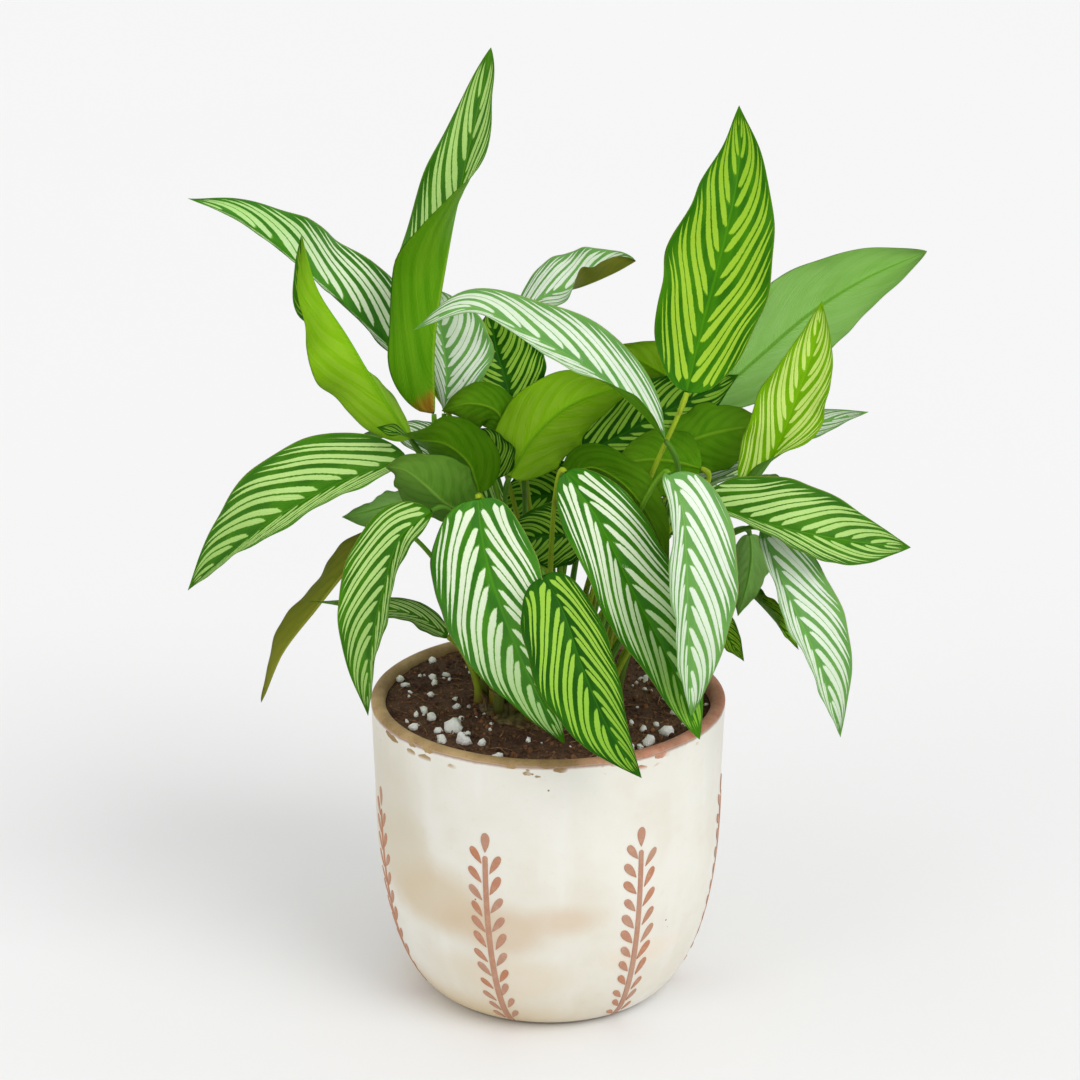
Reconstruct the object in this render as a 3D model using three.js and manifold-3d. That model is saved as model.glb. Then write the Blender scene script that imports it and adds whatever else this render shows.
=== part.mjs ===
// Potted calathea: striped leaves on slender stems, in soil, in a glazed terracotta pot.
// Millimetres, +Z up. The origin is the centre of the pot's foot; the front of the plant faces -Y.
import * as THREE from 'three';
import { ParametricGeometry } from 'three/addons/geometries/ParametricGeometry.js';
import * as BufferGeometryUtils from 'three/addons/utils/BufferGeometryUtils.js';
import Module from 'manifold-3d';

const wasm = await Module();
wasm.setup();

const UP = new THREE.Vector3(0, 0, 1);

// ---- driving dimensions -------------------------------------------------

const GAP = 0.3;                 // clearance between pieces that touch

const POT = {
  height: 140, rimRadius: 80, bellyRadius: 78.7, bellyHeight: 98.7, footRadius: 47.6,
  lowerPower: 2.26, upperPower: 2.07,      // exponents of the rounded lower wall
  wall: 6.3, lipRound: 2.4, floorThickness: 9,
  segments: 32, outerSteps: 9, innerSteps: 6, stepCrowding: 1.5, lipAngles: [45, 90, 135],
};
const SOIL = { top: 134 };
const CROWN = { radius: 34, thickness: 4, edge: 2.5, sideHeight: 1, segments: 20 };
const GRAIN = { stretch: [1.15, 0.9, 0.75], tip: 1.3, turn: 2.1 };       // shape and rotation of a grain
const BLADE = {
  thickness: 0.7, stations: 9, columns: 4,
  crowding: 0.5,                           // how much closer the stations are at both ends
  flattest: 0.1,                           // least bend of a half, degrees
  rippleLag: 1.9,                          // how far the right margin's waves lag the left's, radians
  probe: { along: 0.004, across: 0.05, inset: 0.98 },      // steps that measure the surface's normal
};
const STEM = {
  rootRadius: 1.6, baseRadius: 1.15, sides: 4, rings: 11, ribRings: 3, ribLength: 0.3, ribSink: 0.3,
};
const CROWN_TOP = SOIL.top + GAP + CROWN.thickness;
const MERGE_DISTANCE = 1e-4;

const LEAF_GREEN = 0x3f8f2b;
const GLAZE_CREAM = 0xe9e0cf;
const SOIL_BROWN = 0x3f2d24;
const CROWN_BROWN = 0x6b5a38;
const PERLITE_WHITE = 0xf1f0ea;

// Shapes that most leaves share; a leaf below states only what differs.
//   outline  [where the blade is widest, roundness of its base, taper of its tip]
//   ripple   [height of the wavy margin, waves per side, phase]
//   left, right  how each half bends up from the midrib, in degrees, from base to tip:
//                [lift at the midrib, further bend out to the margin]
//   arch     [how far the stem rises straight, how far it runs on into the blade], as shares
const LEAF = {
  outline: [0.75, 0.62, 0.98], ripple: [1, 3, 0.2], left: [[12, 10]], right: [[12, 10]], arch: [0.45, 0.18],
};

// Each leaf: where its stem stands on the crown (x, y), the widths of its left and right halves,
// points along the midrib from base to tip, and which way the upper face looks from base to tip.
const LEAVES = {
  leaf_01_tall_left: {
    root: [-12, 2], half: [21, 24], outline: [0.75, 0.5, 0.85], ripple: [4, 3.2, 0.1],
    midrib: [[-50, 0, 271], [-50, 8, 302], [-43, 22, 344], [-33, 36, 387], [-25, 48, 423]],
    facing: [[-1, -0.1, 0.1], [-0.9, -0.4, 0.1], [-0.55, -0.8, 0.25], [-0.3, -0.9, 0.25]],
    left: [[60, 20], [45, 20], [15, 10], [5, 0]], right: [[70, 60], [65, 65], [30, 20], [10, 5]],
  },
  leaf_02_upper_left: {
    root: [-20, 15], half: [6.5, 27], outline: [0.75, 0.5, 1.05],
    midrib: [[-55, 38, 275], [-88, 24, 312], [-111, 7, 339], [-133, -2, 359], [-153, -8, 369]],
    facing: [[0, -0.3, 0.95]], left: [[8, 4]], right: [[40, 0], [40, 0], [32, 0]],
  },
  leaf_03_bright_left: {
    root: [-21, -2], half: [23, 21],
    midrib: [[-60, -8, 262], [-73, -8, 283], [-87, -7, 308], [-99, -8, 329], [-105, -10, 354]],
    facing: [[0.2, 0.97, 0.1], [0.1, 0.97, 0.1], [-0.6, 0.7, 0], [-1, 0, -0.3], [-0.7, -0.7, 0]],
    left: [[80, 30], [90, 30], [60, 20], [20, 10]], right: [[5, 5], [10, 10], [55, 30]],
  },
  leaf_04_broad_left: {
    root: [-24, -10], half: [24.5, 24.5],
    midrib: [[-61, -14, 255], [-88, -20, 247], [-116, -25, 233], [-141, -20, 212], [-159, -14, 194]],
    facing: [[0, -0.62, 0.79]], left: [[42, 5]], right: [[28, 5]], outline: [0.75, 0.8, 0.98],
  },
  leaf_05_curled_left: {
    root: [-8, -4], half: [15, 15],
    midrib: [[-30, -10, 238], [-35, -12, 253], [-45, -14, 262], [-57, -17, 265], [-74, -19, 271]],
    facing: [[0.3, 0.8, 0.5], [0.1, 0.9, 0.4], [0.1, 0.9, 0.4], [0, 0.3, 0.9], [0, -0.8, 0.6]],
  },
  leaf_06_folded_left: {
    root: [-14, -16], half: [19, 19],
    midrib: [[-34, -26, 233], [-45, -28, 240], [-53, -29, 248], [-62, -32, 256], [-70, -34, 258]],
    facing: [[0.2, 0.9, 0.4], [0.1, 0.9, 0.3], [0.1, 0.9, 0.3]],
  },
  leaf_07_hanging_left: {
    root: [-22, -20], half: [19, 19], outline: [0.75, 0.75, 0.98],
    midrib: [[-50, -34, 238], [-63, -38, 228], [-71, -42, 205], [-77, -42, 177], [-79, -40, 145]],
    facing: [[-0.63, -0.74, 0.2]], left: [[25, 25]], right: [[22, 30]],
  },
  leaf_08_front_left: {
    root: [-8, -28], half: [24.5, 29], outline: [0.75, 0.5, 0.98],
    midrib: [[-30, -44, 247], [-28, -52, 231], [-21, -60, 206], [-8, -64, 173], [7, -64, 142]],
    facing: [[-0.3, -0.85, 0.4], [-0.35, -0.9, 0.2], [-0.35, -0.9, 0.2]],
    left: [[15, -10], [14, -10], [28, 0]], right: [[0, -12]], arch: [0.45, 0.1],
  },
  leaf_09_narrow_left: {
    root: [-28, 0], half: [12, 12],
    midrib: [[-73, 12, 213], [-86, 14, 199], [-105, 16, 174], [-121, 16, 152], [-131, 14, 129]],
    facing: [[-0.2, 0.9, 0.3]], left: [[55, 30]], right: [[55, 30]],
    outline: [0.75, 0.62, 0.65], ripple: [2, 2.2, 0.3],
  },
  leaf_10_small_left: {
    root: [-31, -8], half: [6.5, 6.5], outline: [0.6, 0.62, 1.6],
    midrib: [[-45, -5, 169], [-57, -8, 179], [-72, -10, 184], [-90, -12, 187], [-107, -14, 189]],
    facing: [[0, -0.6, 0.8]],
  },
  leaf_11_front_centre: {
    root: [4, -30], half: [14, 22], outline: [0.75, 0.5, 0.98],
    midrib: [[-2, -68, 221], [6, -79, 209], [14, -89, 188], [25, -96, 163], [39, -100, 142]],
    facing: [[0.05, -0.97, 0.2]], left: [[10, -20]], right: [[20, -25], [30, -20], [20, -10], [10, 0]],
  },
  leaf_12_front_right: {
    root: [0, -20], half: [20.5, 19], outline: [0.75, 0.65, 0.85], ripple: [1.5, 2.5, 0],
    midrib: [[7, -35, 256], [21, -46, 238], [36, -57, 209], [52, -63, 179], [65, -66, 145]],
    facing: [[0, -0.95, 0.3]], arch: [0.45, 0.09],
    left: [[10, -35]], right: [[20, -20], [40, -10], [35, 0], [0, 0]],
  },
  leaf_13_pale_front_right: {
    root: [18, -31], half: [22, 22], outline: [0.75, 0.6, 0.85],
    midrib: [[51, -44, 258], [56, -54, 247], [58, -63, 226], [59, -67, 195], [61, -66, 156]],
    facing: [[0.57, -0.8, 0.15]], left: [[25, 20]], right: [[25, 20]], arch: [0.45, 0.09],
  },
  leaf_14_right: {
    root: [24, -12], half: [21.5, 21.5],
    midrib: [[67, -20, 237], [84, -27, 233], [104, -30, 228], [131, -28, 222], [158, -22, 217]],
    facing: [[0, -0.62, 0.79]], left: [[28, 5]], right: [[60, 0], [45, 0], [15, 0], [0, 0]],
  },
  leaf_15_hanging_right: {
    root: [22, -22], half: [19, 19],
    midrib: [[92, -30, 228], [98, -38, 214], [106, -46, 197], [116, -52, 176], [127, -52, 140]],
    facing: [[0.6, -0.78, 0.1]], left: [[28, 20]], right: [[28, 20]], arch: [0.45, 0.09],
  },
  leaf_16_tall_right: {
    root: [20, -16], half: [23.5, 23.5], ripple: [3, 3.2, 0.3],
    midrib: [[59, -24, 288], [66, -12, 315], [76, 2, 351], [82, 16, 380], [82, 26, 402]],
    facing: [[0.1, -0.95, 0.3]], left: [[5, 8]], right: [[5, 8]], arch: [0.45, 0.1],
  },
  leaf_17_back_right: {
    root: [17, 10], half: [22, 22], outline: [0.75, 0.62, 0.8],
    midrib: [[71, 33, 266], [93, 38, 285], [118, 42, 306], [142, 44, 321], [168, 44, 333]],
    facing: [[-0.1, 0.95, -0.1]],
  },
  leaf_18_lime_right: {
    root: [24, -3], half: [17, 17],
    midrib: [[87, -8, 237], [99, -4, 255], [107, 0, 275], [115, 6, 298], [119, 12, 319]],
    facing: [[0, -0.8, 0.5]], right: [[100, 40], [20, 20], [10, 10]],
  },
  leaf_19_centre_arch: {
    root: [16, -20], half: [23.5, 18], outline: [0.75, 1.3, 1.05], ripple: [1.2, 2.5, 0.5],
    midrib: [
      [50, -29, 268], [39, -31, 282], [17, -36, 302], [-8, -40, 318], [-33, -42, 330], [-57, -44, 321],
    ],
    arch: [0.45, 0.3],
    facing: [[0, -0.54, 0.84]], left: [[60, 16], [30, 16], [30, 16]], right: [[30, 16]],
  },
  leaf_20_back_centre: {
    root: [4, 22], half: [18, 18], outline: [1.1, 0.9, 0.6],
    midrib: [[-16, 45, 302], [-1, 45, 312], [16, 46, 317], [30, 46, 323], [39, 46, 328]],
    facing: [[0, -0.1, 1]], left: [[45, 0]], right: [[-10, 0], [0, 0], [45, 0], [60, 0]],
  },
  leaf_21_pale_inner_left: {
    root: [-12, 18], half: [8, 22], outline: [0.95, 1, 0.98],
    midrib: [[-46, 14, 267], [-45, 18, 279], [-46, 22, 294], [-49, 24, 309], [-54, 26, 322]],
    facing: [[0.1, -0.9, 0.4]],
  },
  leaf_22_inner_left: {
    root: [-4, 14], half: [20, 20],
    midrib: [[-16, 22, 268], [-19, 26, 279], [-23, 30, 292], [-25, 32, 305], [-26, 32, 310]],
    facing: [[0.1, -0.9, 0.4]],
  },
  leaf_23_bright_centre: {
    root: [-1, 3], half: [24, 18],
    midrib: [[-17, 0, 242], [-8, 6, 257], [7, 12, 270], [23, 16, 276], [40, 18, 279]],
    facing: [[-0.2, 0.95, 0.1]],
  },
  leaf_24_bright_back: {
    root: [10, 17], half: [15, 15],
    midrib: [[68, 42, 265], [57, 40, 274], [45, 38, 282], [35, 36, 288], [28, 36, 292]],
    facing: [[0, 0.95, 0.2]],
  },
  leaf_25_inner_right: {
    root: [7, 9], half: [18, 18],
    midrib: [[16, 22, 246], [32, 26, 253], [50, 29, 262], [68, 31, 270], [85, 34, 279]],
    facing: [[0, -0.9, 0.45]],
  },
  leaf_26_underside_right: {
    root: [16, 0], half: [17, 17],
    midrib: [[55, 10, 252], [63, 12, 255], [74, 14, 258], [87, 16, 260], [100, 18, 261]],
    facing: [[0, 0.8, -0.6]],
  },
  leaf_27_underside_front: {
    root: [5, -3], half: [12, 12],
    midrib: [[8, -12, 244], [18, -19, 253], [30, -27, 250], [43, -33, 236], [52, -37, 215]],
    facing: [[0.2, 0.9, 0.4]],
  },
  leaf_28_shaded_low: {
    root: [9, -22], half: [15, 15],
    midrib: [[18, -10, 219], [5, -11, 219], [-8, -11, 217], [-20, -10, 210]], facing: [[0, -0.95, 0.3]],
  },
  leaf_29_small_inner_left: {
    root: [-8, 6], half: [12, 12],
    midrib: [[-24, 0, 241], [-26, 1, 251], [-30, 2, 259], [-35, 2, 263]], facing: [[0, -0.95, 0.3]],
  },
  leaf_30_slender_right: {
    root: [23, 6], half: [11, 11],
    midrib: [[64, 26, 234], [84, 30, 243], [104, 32, 251], [124, 34, 257], [144, 36, 261]],
    facing: [[0, -0.7, 0.7]],
  },
  leaf_31_small_hanging_right: {
    root: [31, -8], half: [9, 9],
    midrib: [[89, -2, 216], [90, 0, 206], [89, 2, 193], [85, 4, 175]], facing: [[0, 0.9, -0.2]],
  },
  leaf_32_rolled_right: {
    root: [30, 2], half: [8, 8],
    midrib: [[83, 12, 191], [90, 12, 184], [98, 10, 176], [113, 6, 158]],
    facing: [[0, -0.5, 0.8]], left: [[60, 60], [55, 40], [25, 15]], right: [[60, 60], [55, 40], [25, 15]],
  },
  leaf_33_olive_left: {
    root: [-27, 8], half: [11, 11],
    midrib: [[-57, 0, 232], [-68, 4, 228], [-81, 8, 223], [-92, 10, 220]], facing: [[0, 0.6, -0.8]],
  },
  leaf_34_small_low_right: {
    root: [27, -16], half: [7, 7],
    midrib: [[69, -20, 192], [74, -24, 183], [81, -26, 173], [86, -28, 166]], facing: [[0, -0.6, 0.8]],
  },
  leaf_35_underside_inner_left: {
    root: [-13, 11], half: [11, 11],
    midrib: [[-18, 10, 262], [-24, 10, 270], [-35, 9, 273], [-47, 8, 270]], facing: [[0, 0.95, -0.3]],
  },
  leaf_36_underside_inner_right: {
    root: [11, -6], half: [16, 16],
    midrib: [[67, 0, 246], [56, 0, 249], [43, 0, 250], [28, 0, 247]], facing: [[0, 0.9, -0.4]],
  },
  leaf_37_rear_centre: {
    root: [3, 29], half: [19, 19],
    midrib: [[14, 36, 240], [10, 62, 250], [6, 90, 238], [2, 112, 205]], facing: [[0, 0.3, 0.95]],
  },
  leaf_38_rear_right: {
    root: [12, 25], half: [19, 19],
    midrib: [[40, 34, 240], [46, 60, 252], [52, 88, 244], [58, 112, 215]], facing: [[0, 0.3, 0.95]],
  },
  leaf_39_rear_low_right: {
    root: [22, 19], half: [17, 17],
    midrib: [[55, 28, 205], [72, 50, 214], [86, 74, 208], [98, 94, 186]], facing: [[0.2, 0.2, 0.95]],
  },
  leaf_40_rear_left: {
    root: [-12, 29], half: [14, 14],
    midrib: [[-22, 32, 214], [-38, 50, 225], [-52, 70, 221], [-62, 88, 199]], facing: [[-0.2, 0.2, 0.95]],
  },
  leaf_41_shaded_back: {
    root: [16, 18], half: [17, 17],
    midrib: [[22, 54, 208], [8, 55, 214], [-8, 55, 214], [-24, 54, 206]], facing: [[0, -0.95, 0.3]],
  },
  leaf_42_rear_high_centre: {
    root: [-4, 24], half: [18, 18],
    midrib: [[-24, 44, 250], [-28, 60, 266], [-32, 80, 268], [-36, 100, 254]], facing: [[0, 0.1, 1]],
  },
  leaf_43_rear_high_right: {
    root: [8, 28], half: [18, 18],
    midrib: [[32, 49, 256], [42, 67, 272], [54, 87, 272], [66, 105, 256]], facing: [[0, 0.1, 1]],
  },
  leaf_44_rear_low_left: {
    root: [-24, 12], half: [17, 17],
    midrib: [[-44, 30, 236], [-64, 44, 246], [-86, 56, 240], [-104, 66, 218]], facing: [[-0.2, 0.2, 0.95]],
  },
  leaf_45_rear_side_right: {
    root: [22, 14], half: [16, 16],
    midrib: [[56, 28, 219], [78, 42, 227], [98, 58, 221], [114, 72, 201]], facing: [[0.2, 0.2, 0.95]],
  },
  leaf_46_rear_low_centre: {
    root: [-2, 30], half: [16, 16],
    midrib: [[0, 44, 190], [2, 66, 198], [6, 88, 190], [10, 106, 168]], facing: [[0, 0.3, 0.95]],
  },
};

// Perlite grains lying on the soil in front of the stems: x, y and size.
const PERLITE = [
  [-42, -31, 5.5], [-37, -45, 4.5], [-52, -20, 3.6], [-47, -43, 3.2], [-22, -62, 3.2], [44, -45, 5],
  [52, -34, 4], [34, -54, 4.4], [-60, -30, 3],
];

// ---- helpers --------------------------------------------------------------

function material(color, roughness) {
  return new THREE.MeshStandardMaterial({ color, roughness, metalness: 0 });
}

function toManifold(geometry) {
  const bare = geometry.index ? geometry.toNonIndexed() : geometry.clone();
  bare.deleteAttribute('normal');
  bare.deleteAttribute('uv');
  const merged = BufferGeometryUtils.mergeVertices(bare, MERGE_DISTANCE);
  return new wasm.Manifold(new wasm.Mesh({
    numProp: 3,
    vertProperties: new Float32Array(merged.attributes.position.array),
    triVerts: new Uint32Array(merged.index.array),
  }));
}

function fromManifold(solid) {
  const mesh = solid.getMesh();
  const geometry = new THREE.BufferGeometry();
  geometry.setAttribute('position', new THREE.BufferAttribute(mesh.vertProperties, 3));
  geometry.setIndex(new THREE.BufferAttribute(mesh.triVerts, 1));
  return geometry.toNonIndexed();
}

function finished(geometry, name, meshMaterial) {
  geometry.computeVertexNormals();
  const mesh = new THREE.Mesh(geometry, meshMaterial);
  mesh.name = name;
  return mesh;
}

// Value at share t of a list of evenly spaced stations, eased between them.
function blend(stations, t, mix) {
  const last = stations.length - 1;
  const at = THREE.MathUtils.clamp(t, 0, 1) * last;
  const low = Math.min(Math.floor(at), Math.max(last - 1, 0));
  const ease = THREE.MathUtils.smoothstep(at - low, 0, 1);
  return mix(stations[low], stations[Math.min(low + 1, last)], ease);
}

// ---- leaves ---------------------------------------------------------------

// Share of the full half width at share t of the blade: widest near its lower third.
function outlineShare([peak, roundness, taper], t) {
  const swell = Math.sin(Math.PI * Math.pow(t, peak));
  const widest = Math.pow(0.5, 1 / peak);
  return Math.pow(Math.max(swell, 0), t < widest ? roundness : taper);
}

// Direction along the midrib, the upper face's direction and the direction of the right half.
function bladeFrame(leaf, curve, t) {
  const along = curve.getTangentAt(t);
  const between = (a, b, k) => new THREE.Vector3(...a).lerp(new THREE.Vector3(...b), k);
  const facing = blend(leaf.facing, t, between);
  facing.addScaledVector(along, -facing.dot(along)).normalize();
  return { along, facing, side: new THREE.Vector3().crossVectors(along, facing) };
}

// Point of the blade's middle surface; t runs base to tip and across runs -1 (left) to 1 (right).
function bladePoint(leaf, curve, t, across) {
  const { facing, side } = bladeFrame(leaf, curve, t);
  const hand = across < 0 ? -1 : 1;
  const out = Math.abs(across);
  const [lift, bend] = blend(hand < 0 ? leaf.left : leaf.right, t,
    (a, b, k) => [a[0] + (b[0] - a[0]) * k, a[1] + (b[1] - a[1]) * k]);
  const start = THREE.MathUtils.degToRad(lift);
  const turn = THREE.MathUtils.degToRad(Math.abs(bend) < BLADE.flattest ? BLADE.flattest : bend);
  const share = outlineShare(leaf.outline, t);
  const reach = leaf.half[hand < 0 ? 0 : 1] * share / turn;
  const [height, waves, phase] = leaf.ripple;
  const beat = 2 * Math.PI * (waves * t + phase) + (hand < 0 ? 0 : BLADE.rippleLag);
  const wave = height * share * out * out * Math.sin(beat);
  const angle = start + turn * out;
  const sideways = (Math.sin(angle) - Math.sin(start)) * reach - wave * Math.sin(angle);
  const upward = (Math.cos(start) - Math.cos(angle)) * reach + wave * Math.cos(angle);
  return curve.getPointAt(t).addScaledVector(side, hand * sideways).addScaledVector(facing, upward);
}

// Closer stations near the base and the tip, where the outline turns fastest.
function bladeStation(v) {
  return THREE.MathUtils.lerp(v, (1 - Math.cos(Math.PI * v)) / 2, BLADE.crowding);
}

// Direction square to the blade's middle surface, on the upper side.
function bladeNormal(leaf, curve, t, across) {
  const { along, across: sideStep, inset } = BLADE.probe;
  const inner = THREE.MathUtils.clamp(t, along, 1 - along);
  const ahead = bladePoint(leaf, curve, inner + along, across * inset);
  const behind = bladePoint(leaf, curve, inner - along, across * inset);
  const rightward = bladePoint(leaf, curve, inner, Math.min(across + sideStep, 1));
  const leftward = bladePoint(leaf, curve, inner, Math.max(across - sideStep, -1));
  return rightward.sub(leftward).cross(ahead.sub(behind)).normalize();
}

// The blade is a lens, thinner where it is narrow: u goes once around its section, v from base to tip.
function bladeGeometry(leaf, curve) {
  const around = 2 * BLADE.columns;
  const lens = (u, v, target) => {
    const t = bladeStation(v);
    const turn = (u % 1) * 2;
    const across = turn <= 1 ? -1 + 2 * turn : 3 - 2 * turn;
    const face = turn <= 1 ? 1 : -1;
    const fullness = Math.sqrt(Math.max(1 - across * across, 0) * outlineShare(leaf.outline, t));
    const pointed = v === 0 || v === 1;
    const half = pointed ? 0 : 0.5 * BLADE.thickness * fullness;
    target.copy(bladePoint(leaf, curve, t, across))
      .addScaledVector(bladeNormal(leaf, curve, t, across), face * half);
  };
  const geometry = new ParametricGeometry(lens, around, BLADE.stations);
  geometry.setIndex(bladeTriangles(around));
  return geometry;
}

// Both faces are split along the same diagonals, so that a twisted blade keeps its thickness.
function bladeTriangles(around) {
  const row = around + 1;
  const corners = [];
  for (let station = 0; station < BLADE.stations; station += 1) {
    for (let column = 0; column < around; column += 1) {
      const a = station * row + column;
      const [b, c, d] = [a + 1, a + row + 1, a + row];
      corners.push(...(column < BLADE.columns ? [a, b, d, b, c, d] : [a, b, c, a, c, d]));
    }
  }
  return corners;
}

// Stem line: up from the crown, over in an arch, then on under the midrib to a fine point.
function stemCurve(leaf, curve) {
  const root = new THREE.Vector3(...leaf.root, CROWN_TOP + GAP);
  const base = curve.getPointAt(0);
  const along = curve.getTangentAt(0);
  const span = base.distanceTo(root);
  const rise = root.clone().addScaledVector(UP, span * leaf.arch[0]);
  const meet = base.clone().addScaledVector(along, -span * leaf.arch[1]);
  return new THREE.CubicBezierCurve3(root, rise, meet, base);
}

// Rings of the stem: the first and the last close to a point, so the tube has no open end.
function stemRing(leaf, curve, stem, ring) {
  const lastBelow = STEM.rings - STEM.ribRings;
  if (ring <= lastBelow) {
    const share = Math.max(ring - 1, 0) / (lastBelow - 1);
    const radius = THREE.MathUtils.lerp(STEM.rootRadius, STEM.baseRadius, share);
    return { t: 0, centre: stem.getPointAt(share), along: stem.getTangentAt(share), sink: 0,
      radius: ring === 0 ? 0 : radius };
  }
  const ribShare = (ring - lastBelow) / STEM.ribRings;
  const t = ribShare * STEM.ribLength;
  return { t, centre: curve.getPointAt(t), along: curve.getTangentAt(t), sink: STEM.ribSink,
    radius: STEM.baseRadius * (1 - ribShare) };
}

function stemGeometry(leaf, curve) {
  const stem = stemCurve(leaf, curve);
  const tube = (u, v, target) => {
    const ring = stemRing(leaf, curve, stem, Math.round(v * STEM.rings));
    const { facing, side } = bladeFrame(leaf, curve, ring.t);
    const across = side.addScaledVector(ring.along, -side.dot(ring.along)).normalize();
    const over = new THREE.Vector3().crossVectors(across, ring.along);
    const angle = -2 * Math.PI * (u % 1);
    target.copy(ring.centre)
      .addScaledVector(across, Math.cos(angle) * ring.radius)
      .addScaledVector(over, Math.sin(angle) * ring.radius)
      .addScaledVector(facing, -ring.sink);
  };
  return new ParametricGeometry(tube, STEM.sides, STEM.rings);
}

function leafMesh(name, given) {
  const leaf = { ...LEAF, ...given };
  const curve = new THREE.CatmullRomCurve3(leaf.midrib.map((point) => new THREE.Vector3(...point)));
  const blade = toManifold(bladeGeometry(leaf, curve));
  const stem = toManifold(stemGeometry(leaf, curve));
  return finished(fromManifold(blade.add(stem)), name, material(LEAF_GREEN, 0.45));
}

// ---- pot, soil, crown and perlite -----------------------------------------

// Outer radius of the pot at a height: a rounded lower wall, then nearly straight to the rim.
function potRadius(z) {
  if (z >= POT.bellyHeight) {
    const share = (z - POT.bellyHeight) / (POT.height - POT.bellyHeight);
    return THREE.MathUtils.lerp(POT.bellyRadius, POT.rimRadius, share);
  }
  const fullness = Math.pow(1 - Math.pow(1 - z / POT.bellyHeight, POT.lowerPower), 1 / POT.upperPower);
  return THREE.MathUtils.lerp(POT.footRadius, POT.bellyRadius, fullness);
}

// Heights from low to high, closer together near the foot, where the wall turns fastest.
function heights(low, high, steps) {
  const share = (step) => Math.pow(step / steps, POT.stepCrowding);
  return Array.from({ length: steps + 1 }, (_, step) => low + (high - low) * share(step));
}

function potProfile() {
  const outer = heights(0, POT.height - POT.lipRound, POT.outerSteps).map((z) => [potRadius(z), z]);
  const lipMiddle = POT.rimRadius - POT.wall / 2;
  const lip = POT.lipAngles.map((degrees) => {
    const angle = THREE.MathUtils.degToRad(degrees);
    return [lipMiddle + Math.cos(angle) * POT.wall / 2, POT.height - POT.lipRound * (1 - Math.sin(angle))];
  });
  const inner = heights(POT.floorThickness, POT.height - POT.lipRound, POT.innerSteps).reverse()
    .map((z) => [potRadius(z) - POT.wall, z]);
  return [[0, 0], ...outer, ...lip, ...inner, [0, POT.floorThickness]];
}

// A closed outline turned about the pot's axis.
function turned(points, segments) {
  const outline = [...points, points[0]].map(([radius, z]) => new THREE.Vector2(radius, z));
  return new THREE.LatheGeometry(outline, segments).rotateX(Math.PI / 2);
}

function potMesh() {
  const body = fromManifold(toManifold(turned(potProfile(), POT.segments)));
  return finished(body, 'pot', material(GLAZE_CREAM, 0.6));
}

function soilMesh() {
  const low = POT.floorThickness + GAP;
  const side = heights(low, SOIL.top, POT.innerSteps).map((z) => [potRadius(z) - POT.wall - GAP, z]);
  const outline = [[0, low], ...side, [0, SOIL.top]];
  const body = fromManifold(toManifold(turned(outline, POT.segments)));
  return finished(body, 'soil', material(SOIL_BROWN, 0.95));
}

function crownMesh() {
  const low = SOIL.top + GAP;
  const outline = [
    [0, low], [CROWN.radius, low], [CROWN.radius, low + CROWN.sideHeight],
    [CROWN.radius - CROWN.edge, CROWN_TOP], [0, CROWN_TOP],
  ];
  const body = fromManifold(toManifold(turned(outline, CROWN.segments)));
  return finished(body, 'root_crown', material(CROWN_BROWN, 0.8));
}

function perliteMesh([x, y, size], index) {
  const grain = new THREE.DodecahedronGeometry(size / 2, 0);
  grain.rotateX(index * GRAIN.tip);
  grain.rotateZ(index * GRAIN.turn);
  grain.scale(...GRAIN.stretch);
  grain.computeBoundingBox();
  grain.translate(x, y, SOIL.top + GAP - grain.boundingBox.min.z);
  const name = `perlite_grain_${String(index + 1).padStart(2, '0')}`;
  return finished(fromManifold(toManifold(grain)), name, material(PERLITE_WHITE, 0.9));
}

// ---- the plant in its pot ---------------------------------------------------

const plant = new THREE.Group();
plant.add(potMesh(), soilMesh(), crownMesh());
Object.entries(LEAVES).forEach(([name, leaf]) => plant.add(leafMesh(name, leaf)));
PERLITE.forEach((grain, index) => plant.add(perliteMesh(grain, index)));

export default plant;
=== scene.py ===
"""A potted calathea: barred leaves on slender stems, in soil, in a cream glazed pot with painted sprigs.

Sizes are millimetres up to the meshes, which are in metres. +Z is up, the origin is the centre of the
pot's foot and the front of the plant faces -Y.
"""

import math
from types import SimpleNamespace as Sizes

import bmesh
import bpy
import numpy as np
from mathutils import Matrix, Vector, noise


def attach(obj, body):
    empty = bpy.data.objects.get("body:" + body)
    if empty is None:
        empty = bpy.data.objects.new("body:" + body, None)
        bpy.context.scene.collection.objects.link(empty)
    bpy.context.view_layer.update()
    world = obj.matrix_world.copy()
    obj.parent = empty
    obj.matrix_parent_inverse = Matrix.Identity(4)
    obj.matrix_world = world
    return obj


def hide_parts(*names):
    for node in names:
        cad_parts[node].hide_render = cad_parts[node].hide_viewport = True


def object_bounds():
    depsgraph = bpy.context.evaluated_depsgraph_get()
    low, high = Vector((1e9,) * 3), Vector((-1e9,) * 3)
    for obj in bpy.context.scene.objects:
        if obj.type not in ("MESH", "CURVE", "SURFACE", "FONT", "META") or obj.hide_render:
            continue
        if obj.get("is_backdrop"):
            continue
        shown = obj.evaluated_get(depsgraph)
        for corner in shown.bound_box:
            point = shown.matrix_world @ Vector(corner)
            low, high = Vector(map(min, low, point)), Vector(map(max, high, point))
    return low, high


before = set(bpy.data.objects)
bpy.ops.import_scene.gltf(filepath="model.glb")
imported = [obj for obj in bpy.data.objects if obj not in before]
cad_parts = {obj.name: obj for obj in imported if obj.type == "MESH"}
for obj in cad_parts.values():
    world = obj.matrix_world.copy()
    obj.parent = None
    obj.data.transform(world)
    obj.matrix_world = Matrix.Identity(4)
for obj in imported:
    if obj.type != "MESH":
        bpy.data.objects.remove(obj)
cad_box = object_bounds()

# ---- driving dimensions ----

MM = 0.001

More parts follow.
